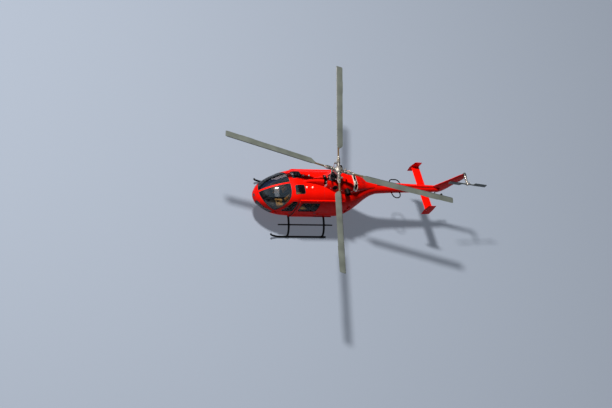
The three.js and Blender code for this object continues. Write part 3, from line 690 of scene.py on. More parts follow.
CLAMSHELL = [(-1010, 1650), (-1950, 1650), (-1950, 400), (-1010, 400)]
CHIN_PANE = [(225, 1050), (330, 1080), (450, 1045), (570, 988), (690, 975), (690, 800), (560, 690),
             (300, 660), (205, 690)]
CHIN_REAR_X = 2172
ROOF_PANE = [(1552, 155), (1550, 520), (1135, 515), (1150, 150)]
SLIDE_STANDOFF = 6
SLIDE_THICK = 30
SLIDE_FACE = SLIDE_STANDOFF + SLIDE_THICK
SHELL_END_X = -2260

POD_ROWS_FINE = between(POD, 150)
POD_ROWS_PLAIN = between(POD, 64)


def pod(offset, fine=True):
    """The body's hull, moved outwards by a distance, or inwards where it is negative."""
    rows, around = (POD_ROWS_FINE, 128) if fine else (POD_ROWS_PLAIN, 72)
    rings = []
    for x, half_width, bottom, waist, top, bottom_power, top_power in rows:
        if half_width + offset < (60 if offset >= 0 else 90):
            continue
        nose = max(0, (x - CABIN_FRONT_X) / (NOSE_X - CABIN_FRONT_X))
        rings.append(super_ring(x + offset * nose, half_width + offset, bottom - offset, waist, top + offset,
                                bottom_power, top_power, around))
    return skin("pod", rings)


def pod_band(outer, inner, fine=True):
    """The layer of the body between two offsets."""
    return carve(pod(outer, fine), pod(inner, fine))


def on_side(outline, side):
    return [(y * side, z) for y, z in outline]


def across(outline, side):
    return [(x, y * side) for x, y in outline]


def inside_pod(centres, offset):
    """Which points, in metres, lie inside the body's hull moved by an offset."""
    rows = np.array(POD_ROWS_FINE)[::-1]
    x, y, z = ((centres - np.array(at(0, 0, 0))) / MM).T
    half, bottom, waist, top, bottom_power, top_power = (np.interp(x, rows[:, 0], c) for c in rows.T[1:])
    below = z < waist
    power = np.where(below, bottom_power, top_power)
    height = np.where(below, waist - bottom, top - waist) + offset
    return np.abs(y / (half + offset)) ** power + np.abs((z - waist) / height) ** power < 1


def lined(obj, offset=-WALL / 2):
    """Gives the cabin's lining to a wall's inner faces."""
    obj.data.materials.append(LINING)
    centres = np.array([face.center for face in obj.data.polygons])
    for face, inner in zip(obj.data.polygons, inside_pod(centres, offset)):
        if inner:
            face.material_index = 1
    return obj


# Sheet seams: real ones are 1 to 2 mm wide, drawn 7 to 8 mm wide so that they show
SEAM_X = (-640, 285, 1328)
seam_band = pod_band(2, -4, False)


def seam(outline, side):
    """A layer over a sheet seam, within an outline on one flank, to cut its groove."""
    return within(copied(seam_band, "seam"), flank(side, outline))


# Cabin shell: the hull with its openings cut
wall = pod_band(0, -WALL)
shell = copied(wall, "cabin_skin")
carve(shell, block("cutter", (-2400, -600, 900), (SHELL_END_X, 600, 2400)))
for side in SIDES.values():
    carve(shell, flank(side, WINDSCREEN, 60, POST_HALF_WIDTH), flank(side, FRONT_DOOR, DOOR_CORNER),
          flank(side, inset(SLIDE_DOOR, 18), DOOR_CORNER),
          prism("front", on_side(CHIN_PANE, side), CHIN_REAR_X, 3000, 45),
          prism("top", across(ROOF_PANE, side), 1880, 2300, 55))
carve(shell, prism("side", CLAMSHELL, -900, 900))
for side in SIDES.values():
    for x in SEAM_X:
        carve(shell, seam([(x - 4, 500), (x + 4, 500), (x + 4, 2200), (x - 4, 2200)], side))
    carve(shell, seam([(-1010, 1836), (SHELL_END_X + 60, 1836), (SHELL_END_X + 60, 1843),
                       (-1010, 1843)], side))
lined(paint_it(shell, ENAMEL_RED, "fuselage", "red_paint", "cabin_shell"))

# Panes and their rubber seals
pane_band = pod_band(-GLASS_DEPTH, -GLASS_DEPTH - GLASS)
seal_band = pod_band(-2, -GLASS_DEPTH - GLASS - 4)
SEAL_WIDTH = 16


def pane_and_seal(name, body, node, cutter, narrower):
    """A pane and the rubber round its edge: cutter makes the opening's prism, narrower the inner one."""
    glass = within(copied(pane_band, name), cutter())
    paint_it(glass, CLEAR_GLAZING if "door" in body else GLAZING, body, "glazing", node)
    seal = carve(within(copied(seal_band, name + "_seal"), cutter()), narrower())
    paint_it(seal, RUBBER, body)


for name, side in SIDES.items():
    pane_and_seal("windscreen_pane_" + name, "fuselage", "windscreen_" + name,
                  lambda: flank(side, WINDSCREEN, 60, POST_HALF_WIDTH),
                  lambda: flank(side, inset(WINDSCREEN, SEAL_WIDTH), 50, POST_HALF_WIDTH + SEAL_WIDTH))
    pane_and_seal("chin_pane_" + name, "fuselage", "chin_window_" + name,
                  lambda: prism("front", on_side(CHIN_PANE, side), CHIN_REAR_X, 3000, 45),
                  lambda: prism("front", inset(on_side(CHIN_PANE, side), SEAL_WIDTH),
                                CHIN_REAR_X + SEAL_WIDTH, 3000, 35))
    pane_and_seal("roof_pane_" + name, "fuselage", "roof_window_" + name,
                  lambda: prism("top", across(ROOF_PANE, side), 1880, 2300, 55),
                  lambda: prism("top", inset(across(ROOF_PANE, side), SEAL_WIDTH), 1880, 2300, 45))

# Doors
slide_wall = pod_band(SLIDE_FACE, SLIDE_STANDOFF)
slide_pane_band = pod_band(SLIDE_STANDOFF + 18, SLIDE_STANDOFF + 10)
for name, side in SIDES.items():
    door = within(copied(wall, "front_door_skin_" + name),
                  flank(side, inset(FRONT_DOOR, DOOR_GAP), DOOR_CORNER))
    carve(door, flank(side, FRONT_PANE, 60))
    lined(paint_it(door, ENAMEL_RED, "front_door_" + name, "red_paint", "front_door_" + name))
    pane_and_seal("front_door_pane_" + name, "front_door_" + name, "front_door_glass_" + name,
                  lambda: flank(side, FRONT_PANE, 60), lambda: flank(side, inset(FRONT_PANE, SEAL_WIDTH), 48))
    door = within(copied(slide_wall, "sliding_door_skin_" + name), flank(side, SLIDE_DOOR, DOOR_CORNER))
    carve(door, flank(side, SLIDE_PANE, 90))
    lined(paint_it(door, ENAMEL_RED, "sliding_door_" + name, "red_paint", "sliding_door_" + name),
          SLIDE_STANDOFF + 3)
    seal = within(pod_band(SLIDE_STANDOFF + 24, SLIDE_STANDOFF + 6), flank(side, SLIDE_PANE, 90))
    paint_it(carve(seal, flank(side, inset(SLIDE_PANE, SEAL_WIDTH), 75)), RUBBER, "sliding_door_" + name,
             name="sliding_door_pane_seal_" + name)
    glass = within(copied(slide_pane_band, "sliding_door_pane_" + name), flank(side, SLIDE_PANE, 90))
    paint_it(glass, CLEAR_GLAZING, "sliding_door_" + name, "glazing", "sliding_door_glass_" + name)
    clam = within(copied(wall, "clamshell_door_skin_" + name),
                  prism("side", inset(CLAMSHELL, DOOR_GAP), -900, 900))
    low, high = sorted((DOOR_GAP / 2 * side, 900 * side))
    within(clam, block("cutter", (-3000, low, 300), (0, high, 2000)))
    lined(paint_it(clam, ENAMEL_RED, "clamshell_door_" + name, "red_paint", "clamshell_door_" + name))

# A rubber lip on the shell behind the rear doors' front edge, so that no light shows through their gap
lip = within(pod_band(-WALL - 1.5, -WALL - 9), block("cutter", (-1040, -900, 400), (-1000, 900, 1660)))
paint_it(lip, RUBBER, "fuselage", name="clamshell_door_lip")

# Gearbox fairing and engine cowling
COWL = [
    # x, half width, top
    (1140, 45, 2100), (1080, 62, 2128), (800, 95, 2215), (500, 155, 2298), (250, 235, 2360), (60, 325, 2410),
    (-100, 385, 2430), (-400, 435, 2442), (-700, 470, 2440), (-940, 475, 2425), (-1130, 440, 2325),
    (-1450, 340, 2205), (-1800, 240, 2068), (-2150, 165, 2010),
]
COWL_WALL = 20
COWL_SPLIT_X = -350
MAST_OPENING = 215
EXHAUSTS = {
    # inner end and open end at the left side, outer radius
    "outer": ((-630, 300, 2192), (-640, 640, 2215), 98),
    "inner": ((-960, 180, 2210), (-1045, 205, 2400), 74),
}


def cowl(offset):
    return skin("cowl", [super_ring(x, half_width + offset, 1700 - offset, 1900, top + offset, 3.2, 3.2, 112)
                         for x, half_width, top in between(COWL, 130)])


def exhaust_ends(kind, side):
    (x0, y0, z0), (x1, y1, z1), radius = EXHAUSTS[kind]
    return (x0, y0 * side, z0), (x1, y1 * side, z1), radius


cowling = carve(cowl(0), cowl(-COWL_WALL), pod(SEAT_GAP))
carve(cowling, rod("cutter", (0, 0, 2200), (0, 0, 2600), MAST_OPENING, sides=96),
      prism("top", [(222, -262), (222, 262), (345, 262), (378, -262)], 2170, 2500),
      block("cutter", (-1120, -432, 2160), (-955, 432, 2500)))
for side in SIDES.values():
    for kind in EXHAUSTS:
        start, end, radius = exhaust_ends(kind, side)
        beyond = (Vector(end) - Vector(start)).normalized() * 30
        carve(cowling, rod("cutter", Vector(start) - beyond, Vector(end) + beyond,
                           radius + SEAT_GAP, sides=48))
fairing = within(copied(cowling, "gearbox_fairing_skin"),
                 block("cutter", (COWL_SPLIT_X, -900, 1500), (2000, 900, 3000)))
paint_it(fairing, ENAMEL_RED, "fuselage", "red_paint", "gearbox_fairing")
within(cowling, block("cutter", (-3000, -900, 1500), (COWL_SPLIT_X - 4, 900, 3000)))
paint_it(cowling, ENAMEL_RED, "fuselage", "red_paint", "engine_cowling", name="engine_cowling_skin")

for name, side in SIDES.items():
    for kind in EXHAUSTS:
        start, end, radius = exhaust_ends(kind, side)
        axis = Vector(end) - Vector(start)
        length = axis.length
        pipe = turned(f"exhaust_{kind}_pipe_{name}", start, axis, [
            (0, radius), (length - 34, radius), (length - 30, radius + 4), (length - 10, radius + 4),
            (length, radius + 1), (length, radius - 5), (length - 12, radius - 8),
            (40, radius - 8), (40, 0)], 48)
        paint_it(pipe, STEEL_SCALED if kind == "outer" else SILVER_LACQUER, "fuselage", "exhaust_metal",
                 f"exhaust_{kind}_{name}")
        mouth, line = at(*end), axis.normalized()
        repaint(pipe, SOOT_AND_SHADE_BLACK, lambda c, n: (c - mouth).dot(line) < -0.008
                and ((c - mouth) - line * (c - mouth).dot(line)).length < (radius - 6) * MM)

# Tail boom, its drive shaft cover, fin, stabilizer and endplates
BOOM_Z = 1740
BOOM = [(-2260, 252), (-2600, 226), (-3000, 204), (-3700, 178), (-4500, 152), (-5000, 134), (-5300, 112)]
STABILIZER_X, STABILIZER_CHORD, STABILIZER_HALF_SPAN, STABILIZER_Z = -4360, 370, 1000, 1735
FIN = [
    # front x, front z, rear x, rear z, thickness
    (-4820, 1780, -5380, 1480, 120), (-4960, 1940, -5560, 1620, 150), (-5420, 2430, -5850, 2120, 130),
    (-5770, 2810, -6055, 2480, 104), (-5850, 2865, -6085, 2565, 70),
]
CHORD_STEPS = [0.5 + 0.5 * math.cos(math.pi * i / 20) for i in range(21)]


def wing_section(chord, thickness, front=0.25):
    """A round-nosed wing section's ring of points, along the chord and up."""
    def half(s):
        shape = 0.2969 * s**0.5 - 0.126 * s - 0.3516 * s**2 + 0.2843 * s**3 - 0.1015 * s**4
        return max(1, 5 * thickness * shape)
    over = [((front - s) * chord, half(s) if s > 1e-9 else 0) for s in CHORD_STEPS]
    return over + [(u, -v) for u, v in over[-2::-1]]


boom = skin("tail_boom_skin", [super_ring(x, r, BOOM_Z - r, BOOM_Z, BOOM_Z + r, 2, 2, 72)
                               for x, r in between(BOOM, 60)])
spine_rows = between([(-2260, 60, 250), (-2700, 52, 230), (-4900, 40, 135), (-5150, 30, 120)], 40)


def spine_ring(x, half, r, height=40):
    """One arch of the drive cover along the boom's back."""
    return [(x, half * math.cos(a), BOOM_Z + r * 0.8 + (r * 0.2 + height) * math.sin(a) ** 0.6)
            for a in [math.pi * i / 20 for i in range(21)]]


spine = skin("spine", [spine_ring(*row) for row in spine_rows])
boom = fused("tail_boom_skin", boom, spine)
paint_it(boom, ENAMEL_RED, "fuselage", "red_paint", "tail_boom")

stabilizer = skin("stabilizer_skin", [
    [(STABILIZER_X + u - 0.25 * STABILIZER_CHORD, y, STABILIZER_Z + v)
     for u, v in wing_section(STABILIZER_CHORD, 0.13 * STABILIZER_CHORD)]
    for y in np.linspace(-STABILIZER_HALF_SPAN, STABILIZER_HALF_SPAN, 21)])
paint_it(stabilizer, ENAMEL_RED, "fuselage", "red_paint", "stabilizer")


def fin_ring(front_x, front_z, rear_x, rear_z, thickness):
    along = Vector((rear_x - front_x, rear_z - front_z))
    chord = along.length
    along.normalize()
    return [(front_x - along.x * u, v, front_z - along.y * u)
            for u, v in wing_section(chord, thickness / 2, 0)]


fin = skin("tail_fin_skin", [fin_ring(*row) for row in between(FIN, 50)])
paint_it(fin, ENAMEL_RED, "fuselage", "red_paint", "tail_fin")

for name, side in SIDES.items():
    rows = between([(-4330, 1450, 360), (-4290, 1735, 420), (-4370, 2060, 330)], 25)
    plate = skin("endplate_skin_" + name, [
        [(x + u, (STABILIZER_HALF_SPAN + SEAT_GAP + max(0, 2 * v)) * side, z)
         for u, v in wing_section(chord, 14, 0)]
        for x, z, chord in rows])
    paint_it(plate, ENAMEL_RED, "fuselage", "red_paint", "endplate_" + name)

# Main rotor blades
ROTOR_CHORD, HUB_Z = 270, 2920
WING_START, WING_END, NECK_LENGTH = 1190, 4860, 1060
PRECONE = math.radians(2.5)
ROTOR_PHASE = math.radians(-16)
BLADE_SECTIONS = [
    # radius, width, thickness, twist in degrees, how far it is a wing section
    (430, 96, 51.4, 0, 0), (600, 96, 51.4, 0, 0), (660, 68, 44, 2, 0), (1000, 70, 40, 4, 0),
    (1090, 170, 38, 4, 1), (WING_START, ROTOR_CHORD, 32, 4, 1), (WING_END, ROTOR_CHORD, 32, -3, 1),
    (4920, 240, 20, -3, 1),
]


def twisted(radius, outline, twist):
    """A blade's outline of places along the chord and up, turned by its twist in degrees, at a radius."""
    t = math.radians(twist)
    return [(radius, u * math.cos(t) - v * math.sin(t), u * math.sin(t) + v * math.cos(t))
            for u, v in outline]


def blade_ring(radius, width, thickness, twist, wing):
    """One ring of a blade: round-edged at the neck where wing is 0, and a wing section where it is 1."""
    ring = []
    for (u, v), s in zip(wing_section(width, thickness), CHORD_STEPS + CHORD_STEPS[-2::-1]):
        w = 1 - 2 * min(s, 0.98)
        neck_u, neck_v = 0.5 * width * w, 0.5 * thickness * (1 - w * w) ** 0.3 * (1 if v > 0 else -1)
        ring.append((neck_u + (u - neck_u) * wing, neck_v + (v - neck_v) * wing))
    return twisted(radius, ring, twist)


def on_arms(pattern):
    """A piece modelled along X, copied to each of the hub's four arms."""
    return [moved(copied(pattern, pattern.name), blade_matrix(k)) for k in range(4)]


def blade_matrix(k):
    """Where arm number k of the main rotor stands: coned up, turned to its phase, and raised to the hub."""
    hub = at(0, 0, HUB_Z)
    turn = Matrix.Rotation(ROTOR_PHASE + k * math.pi / 2, 4, "Z") @ Matrix.Rotation(-PRECONE, 4, "Y")
    return Matrix.Translation(hub) @ turn @ Matrix.Translation(-at(0, 0, 0))


# Main rotor: one blade and one arm are modelled along X about the mast, then copied to each of the four arms
ARMS = ["front", "left", "rear", "right"]


def lengthened(sections, spacing=60):
    """Blade sections with more between them, so that the twist runs smoothly."""
    rows = [sections[0]]
    for a, b in zip(sections, sections[1:]):
        steps = max(1, round((b[0] - a[0]) / spacing))
        for i in range(1, steps + 1):
            t = i / steps
            rows.append([p + (q - p) * t for p, q in zip(a, b)])
    return rows


def strip_ring(radius, width, thickness, twist):
    """A ring round the blade's nose, for the erosion strip."""
    nose = [(u, v) for u, v in wing_section(width, thickness) if u > 0.13 * width]
    outer = [(u + 1.2, v * 1.04 + math.copysign(0.4, v)) for u, v in nose]
    inner = [(u - 1.5, v * 0.9) for u, v in nose[::-1]]
    return twisted(radius, outer + inner, twist)


blade = skin("blade", [blade_ring(*row) for row in lengthened(BLADE_SECTIONS)])
strip = skin("strip", [strip_ring(r, w, h, t) for r, w, h, t, _ in lengthened(BLADE_SECTIONS[5:7], 120)])
tab_rows = [(r, 5 - 8 * (r - WING_START) / (WING_END - WING_START)) for r in (3700, 4250)]
tab = skin("tab", [twisted(r, ((-195, 3), (-214, 1.2), (-214, -1.2), (-195, -3)), t) for r, t in tab_rows])
blade_root = fused("blade_root", block("cuff", (432, -52, -26), (606, 52, 26), 6),
                   turned("cuff_ring", (600, 0, 0), (1, 0, 0), [(0, 38), (8, 43), (26, 43), (36, 35)], 28))
BLADE_FITTINGS = [
    (strip, "blade_erosion_strip_", STAINLESS_STRIP, "blade_grey"),
    (tab, "blade_trim_tab_", BLADE_GREY, "blade_grey"),
    (blade_root, "blade_root_fitting_", TITANIUM, "hub_metal"),
]
for k, name in enumerate(ARMS):
    piece = moved(copied(blade, "rotor_blade_skin_" + name), blade_matrix(k))
    paint_it(piece, BLADE_GREY, "main_rotor", "blade_grey", "rotor_blade_" + name)
    hub_centre = at(0, 0, HUB_Z)
    repaint(piece, NECK_BRONZE, lambda c, n: (c - hub_centre).length < NECK_LENGTH * MM)
    for pattern, piece_name, material, slot in BLADE_FITTINGS:
        paint_it(moved(copied(pattern, piece_name + name), blade_matrix(k)), material, "main_rotor", slot)


def bolt(place, axis, radius, height, washer=1.5):
    """A hexagon head on a washer."""
    place, axis = Vector(place), Vector(axis).normalized()
    head = turned("head", place, axis, [(0, radius), (height * 0.8, radius), (height, radius * 0.86)], 6)
    under = turned("washer", place, axis, [(-1, radius * 1.25), (washer, radius * 1.25)], 16)
    return fused("bolt", head, under)


def bolt_circle(centre, axis, circle, count, radius, height, start=0.0):
    """Hexagon heads on a circle about an axis."""
    centre, axis = Vector(centre), Vector(axis).normalized()
    across = axis.orthogonal().normalized()
    turns = [Quaternion(axis, start + 2 * math.pi * i / count) for i in range(count)]
    return [bolt(centre + turn @ across * circle, axis, radius, height) for turn in turns]


FORK = [(318, -60), (318, 60), (500, 60), (560, 44), (560, -44), (500, -60)]
PITCH_HORN = [(262, 0), (340, 0), (328, 110), (322, 176), (278, 176), (272, 110)]
arm = fused(
    "arm",
    turned("arm_housing", (90, 0, 0), (1, 0, 0), [
        (0, 76), (40, 68), (48, 78), (72, 78), (80, 62), (140, 58), (150, 70), (166, 70), (172, 60),
        (214, 60), (222, 68), (240, 68), (246, 56), (270, 56)], 40),
    *[prism("top", FORK, low, low + 16, 18, "fork") for low in (26, -42)],
    block("fork_root", (312, -58, -40), (404, 58, 40), 8),
    prism("top", PITCH_HORN, -20, 20, 14, "pitch_horn"),
)
soften(arm, 3, 2, 40)
arm_bolts = fused(
    "arm_bolts", *bolt_circle((162, 0, 0), (1, 0, 0), 69, 10, 5, 7),
    *bolt_circle((138, 0, 0), (-1, 0, 0), 69, 10, 5, 7),
    *[rod("pin", (x, 0, -54), (x, 0, 54), 15, sides=20, bevel=2) for x in (462, 528)],
    *[bolt((x, 0, z), (0, 0, z), 21, 16) for x in (462, 528) for z in (42, -42)],
    rod("horn_pin", (300, 150, -38), (300, 150, 38), 12, sides=16, bevel=2))
arm_seal = turned("arm_seal", (310, 0, 0), (1, 0, 0), [(-4, 64), (0, 72), (8, 72), (12, 64)], 32)
hub = fused(
    "hub",
    turned("star", (0, 0, 0), (0, 0, 1), [
        (-96, 96), (-96, 150), (-84, 168), (-50, 176), (50, 172), (82, 158), (95, 140), (95, 70)], 56),
    turned("crown", (0, 0, 0), (0, 0, 1), [(88, 124), (104, 120), (112, 100), (126, 78),
                                           (130, 60), (130, 20)], 48),
    turned("mast", (0, 0, 0), (0, 0, 1), [
        (-449, 60), (-322, 60), (-322, 68), (-306, 68), (-306, 58), (-150, 58), (-120, 74),
        (-96, 92), (-90, 92)], 48))
hub_bolts = fused("hub_bolts", *bolt_circle((0, 0, 95), (0, 0, 1), 140, 12, 9, 10),
                  *bolt_circle((0, 0, -96), (0, 0, -1), 128, 12, 9, 10),
                  *bolt_circle((0, 0, 110), (0, 0, 1), 94, 8, 6, 7))
lift = Matrix.Translation((0, 0, HUB_Z * MM))
head = fused("rotor_head_forging", moved(hub, lift), *on_arms(arm))
paint_it(head, SEALED_FORGING, "main_rotor", "hub_metal", "rotor_hub")
paint_it(fused("rotor_head_bolts", moved(hub_bolts, lift), *on_arms(arm_bolts)), PLATED_STEEL,
         "main_rotor", "hub_metal")
paint_it(fused("rotor_head_seals", *on_arms(arm_seal),
               turned("mast_boot", (0, 0, HUB_Z), (0, 0, 1), [
                   (-300, 62), (-296, 78), (-284, 78), (-278, 66), (-266, 66), (-260, 76), (-248, 76),
                   (-242, 66), (-230, 66), (-224, 74), (-212, 74), (-206, 62)], 40)), RUBBER,
         "main_rotor", "dark_metal")

# Swashplate, its scissors and the pitch links
LINK_LUG_ANGLE, SCISSORS_ANGLE = math.radians(22), math.radians(-45)
plate = fused(
    "swashplate_ring",
    turned("ring", (0, 0, 0), (0, 0, 1), [
        (-360, 84), (-388, 84), (-392, 110), (-390, 160), (-378, 168), (-358, 168), (-352, 152),
        (-334, 142), (-330, 124), (-330, 84), (-360, 84)], 56),
    *[moved(prism("top", [(136, -30), (186, -18), (198, 0), (186, 18), (136, 30)], -372, -346, 8, "lug"),
            about_mast(LINK_LUG_ANGLE + k * math.pi / 2)) for k in range(4)])
moved(plate, lift @ about_mast(ROTOR_PHASE))
paint_it(plate, BLACK_OXIDE, "main_rotor", "dark_metal", "swashplate")
link = fused(
    "link",
    rod("link_rod", (172, 64, -350), (297, 149, -24), 11, sides=16),
    rod("link_sleeve", (203, 85, -268), (266, 128, -106), 17, sides=6),
    ball("link_end", (172, 64, -352), 24, (1, 1, 0.7)), ball("link_end", (299, 150, -22), 23, (1, 1, 0.7)))
links = fused("pitch_links", *[moved(copied(link, "link"), lift @ about_mast(ROTOR_PHASE + k * math.pi / 2))
                               for k in range(4)])
paint_it(links, TITANIUM, "main_rotor", "hub_metal")
scissors = fused(
    "scissors",
    *[moved(fused("scissor",
                  prism("front", [(-34, -150), (34, -150), (16, -330), (-16, -330)], 150, 164, 6, "upper"),
                  block("mast_lug", (60, -30, -172), (160, 30, -144), 4),
                  rod("knee", (157, -24, -326), (157, 24, -326), 13, sides=16),
                  block("ring_lug", (126, -20, -350), (166, 20, -318), 4)),
            lift @ about_mast(ROTOR_PHASE + angle)) for angle in (SCISSORS_ANGLE, SCISSORS_ANGLE + math.pi)])
paint_it(scissors, BLACK_OXIDE, "main_rotor", "dark_metal")

# Below the swashplate: the gearbox's housing, and on it the actuators with their rams and hoses
gearbox = fused(
    "gearbox_housing",
    turned("case", (0, 0, 2080), (0, 0, 1), [
        (0, 190), (30, 196), (60, 196), (70, 186), (150, 180), (170, 186), (190, 186), (200, 176),
        (270, 150), (300, 112), (316, 112), (322, 96), (386, 92), (392, 84), (392, 62)], 48),
    *[moved(block("rib", (60, -7, 2180), (184, 7, 2330), 3), about_mast(k * math.pi / 4)) for k in range(8)],
    block("hydraulic_block", (112, -150, 2080), (262, 150, 2290), 14),
    block("accessory_case", (-262, -120, 2080), (-120, 120, 2270), 14))
paint_it(gearbox, CAST_ALLOY, "fuselage", "light_alloy", "main_gearbox")
paint_it(fused("gearbox_bolts", *bolt_circle((0, 0, 2396), (0, 0, 1), 103, 12, 6, 8),
               *bolt_circle((0, 0, 2280), (0, 0, 1), 182, 20, 6, 8)), PLATED_STEEL, "fuselage", "light_alloy")
actuators, rams = [], []
for x, y in ((165, 95), (165, 0), (165, -95)):
    actuators += [turned("actuator", (x, y, 2270), (0, 0, 1), [(0, 34), (12, 38), (96, 38), (104, 30),
                                                               (118, 30), (122, 20)], 28),
                  block("valve", (x + 26, y - 16, 2290), (x + 62, y + 16, 2352), 5)]
    rams += [rod("ram", (x, y, 2380), (x * 0.92, y * 0.92, 2500), 11, sides=16),
             ball("ram_end", (x * 0.92, y * 0.92, 2504), 18)]
paint_it(fused("control_actuators", *actuators), BLACK_OXIDE, "fuselage", "dark_metal")
paint_it(fused("control_rams", *rams), PLATED_STEEL, "fuselage", "hub_metal")
deck_hoses = fused("hydraulic_hoses", *[
    tube("hose", [(190, y, 2330), (235, y * 1.2, 2350), (230, y * 1.6, 2300), (180, y * 1.7, 2262)], 9)
    for y in (70, 105, -70, -105)])
paint_it(deck_hoses, RUBBER, "fuselage", "dark_metal")

# Roof deck: collar round the mast's opening, intake grille and lips, outlet frame
def cowl_strip(cutter, outer, inner):
    """A piece of a layer that follows the cowling."""
    return within(carve(cowl(outer), cowl(inner)), cutter)


def ring_on_cowl(outer_radius, inner_radius, outer, inner):
    """A ring round the mast that follows the cowling."""
    ring = cowl_strip(rod("cutter", (0, 0, 2200), (0, 0, 2600), outer_radius, sides=96), outer, inner)
    return carve(ring, rod("cutter", (0, 0, 2100), (0, 0, 2700), inner_radius, sides=96))


paint_it(ring_on_cowl(MAST_OPENING + 22, 172, 4, -22), ENAMEL_RED, "fuselage", "red_paint",
         name="mast_opening_plate")
paint_it(ring_on_cowl(178, 164, 9, -28), RUBBER, "fuselage", "dark_metal", name="mast_opening_collar")
# The intake's grille is painted black as shade, so that the intake reads dark
grille = [block("vane", (236 + 15 * i, -240, 2180), (240 + 15 * i, 240, 2392)) for i in range(6)]
grille += [block("crossbar", (232, y - 2, 2180), (318, y + 2, 2384)) for y in range(-220, 221, 40)]
paint_it(within(fused("intake_grille", *grille), cowl(-45)), SOOT_AND_SHADE_BLACK, "fuselage", "dark_metal")
# The recess behind the grille is painted black as shade
intake_box = carve(block("intake_recess", (212, -270, 2100), (388, 270, 2420)),
                   prism("top", [(221, -264), (221, 264), (346, 264), (379, -264)], 2160, 2500))
paint_it(within(intake_box, cowl(-3)), SOOT_AND_SHADE_BLACK, "fuselage", "dark_metal")
INTAKE_LIP = [(219, 205), (219, 288), (286, 288), (280, 205)]
intake_lip = cowl_strip(prism("top", INTAKE_LIP, 2000, 2600, 14), 5, -12)
paint_it(mirrored(intake_lip, "intake_lip_right"), SILVER_LACQUER, "fuselage", "light_alloy")
paint_it(intake_lip, SILVER_LACQUER, "fuselage", "light_alloy", name="intake_lip_left")
outlet_frame = carve(block("outlet_frame", (-1138, -446, 2120), (-904, 446, 2500), 6),
                     block("cutter", (-1116, -428, 2000), (-957, 428, 2600), 12))
outlet_frame = carve(within(outlet_frame, cowl(9)), cowl(-12))
paint_it(outlet_frame, SILVER_LACQUER, "fuselage", "exhaust_metal")
# The outlet's floor is black from soot and from painted shade
outlet_floor = cowl_strip(block("cutter", (-1128, -440, 2080), (-948, 440, 2500)), -22, -29)
for side in SIDES.values():
    start, end, radius = exhaust_ends("inner", side)
    carve(outlet_floor, rod("cutter", Vector(start), Vector(end) * 1.2 - Vector(start) * 0.2,
                            radius + 3, sides=40))
paint_it(outlet_floor, SOOT_AND_SHADE_BLACK, "fuselage", "dark_metal")

# Oil cooler screens, louvres, latches and the roof vents' domes, on both sides
DOME = [(-30, 40), (0, 40), (5, 40), (6, 33), (20, 31), (33, 22), (40, 10), (41, 2)]
for name, side in SIDES.items():
    # Oil cooler inlet: an oval screen painted black as shade, in a rubber rim, on the fairing's shoulder
    inner_end, outer_end = (-110, 250 * side, 2120), (-110, 520 * side, 2400)
    screen = cowl_strip(rod("cutter", inner_end, outer_end, 88, sides=48), 3, -6)
    paint_it(screen, SOOT_AND_SHADE_BLACK, "fuselage", "dark_metal", name="oil_cooler_screen_" + name)
    rim = carve(cowl_strip(rod("cutter", inner_end, outer_end, 98, sides=48), 7, -6),
                rod("cutter", (-110, 200 * side, 2068), (-110, 570 * side, 2452), 86, sides=48))
    paint_it(rim, RUBBER, "fuselage", "dark_metal", name="oil_cooler_rim_" + name)
    # The louvres are black from soot, and from painted shade standing for their slots
    louvres = [block("louvre", (-812 + 38 * i, 372 * side, 2100), (-790 + 38 * i, 520 * side, 2240), 3)
               for i in range(4)]
    louvres = carve(within(fused("cooling_louvres_" + name, *louvres), cowl(9)), cowl(-10))
    paint_it(louvres, SOOT_AND_SHADE_BLACK, "fuselage", "dark_metal")
    latches = [cowl_strip(block("cutter", (x - 17, 300 * side, z - 9), (x + 17, 520 * side, z + 9), 3), 6, -3)
               for x, z in ((-430, 2150), (-880, 2150), (40, 2150), (-1240, 2120))]
    paint_it(fused("cowling_latches_" + name, *latches), PLATED_STEEL, "fuselage", "light_alloy")
    domes = [turned("dome", (x, 265 * side, 2078), (0, 0.12 * side, 1), DOME, 28) for x in (1060, 800)]
    paint_it(fused("roof_vent_domes_" + name, *domes), DOME_WHITE, "fuselage", "light_alloy")
seam_cut = carve(cowl(1.5), cowl(-COWL_WALL - 2))
split = within(seam_cut, block("cutter", (COWL_SPLIT_X - 5, -900, 1500), (COWL_SPLIT_X + 1, 900, 3000)))
paint_it(split, RUBBER, "fuselage", "dark_metal", name="cowling_split_seal")

# Engines under the cowling keep their solids, as cast housings
for name in SIDES:
    refinish(frame["nodes"]["engine_" + name], CAST_ALLOY)


# Doors' fittings: rails, hinges, handles
def pod_y(x, z, offset=0.0):
    """How far out the body's flank stands at a place seen from the side."""
    rows = np.array(POD_ROWS_FINE)[::-1]
    half, bottom, waist, top, low_power, high_power = (float(np.interp(x, rows[:, 0], c)) for c in rows.T[1:])
    power = low_power if z < waist else high_power
    height = (waist - bottom if z < waist else top - waist) + offset
    return (half + offset) * max(0.0, 1 - abs((z - waist) / height) ** power) ** (1 / power)


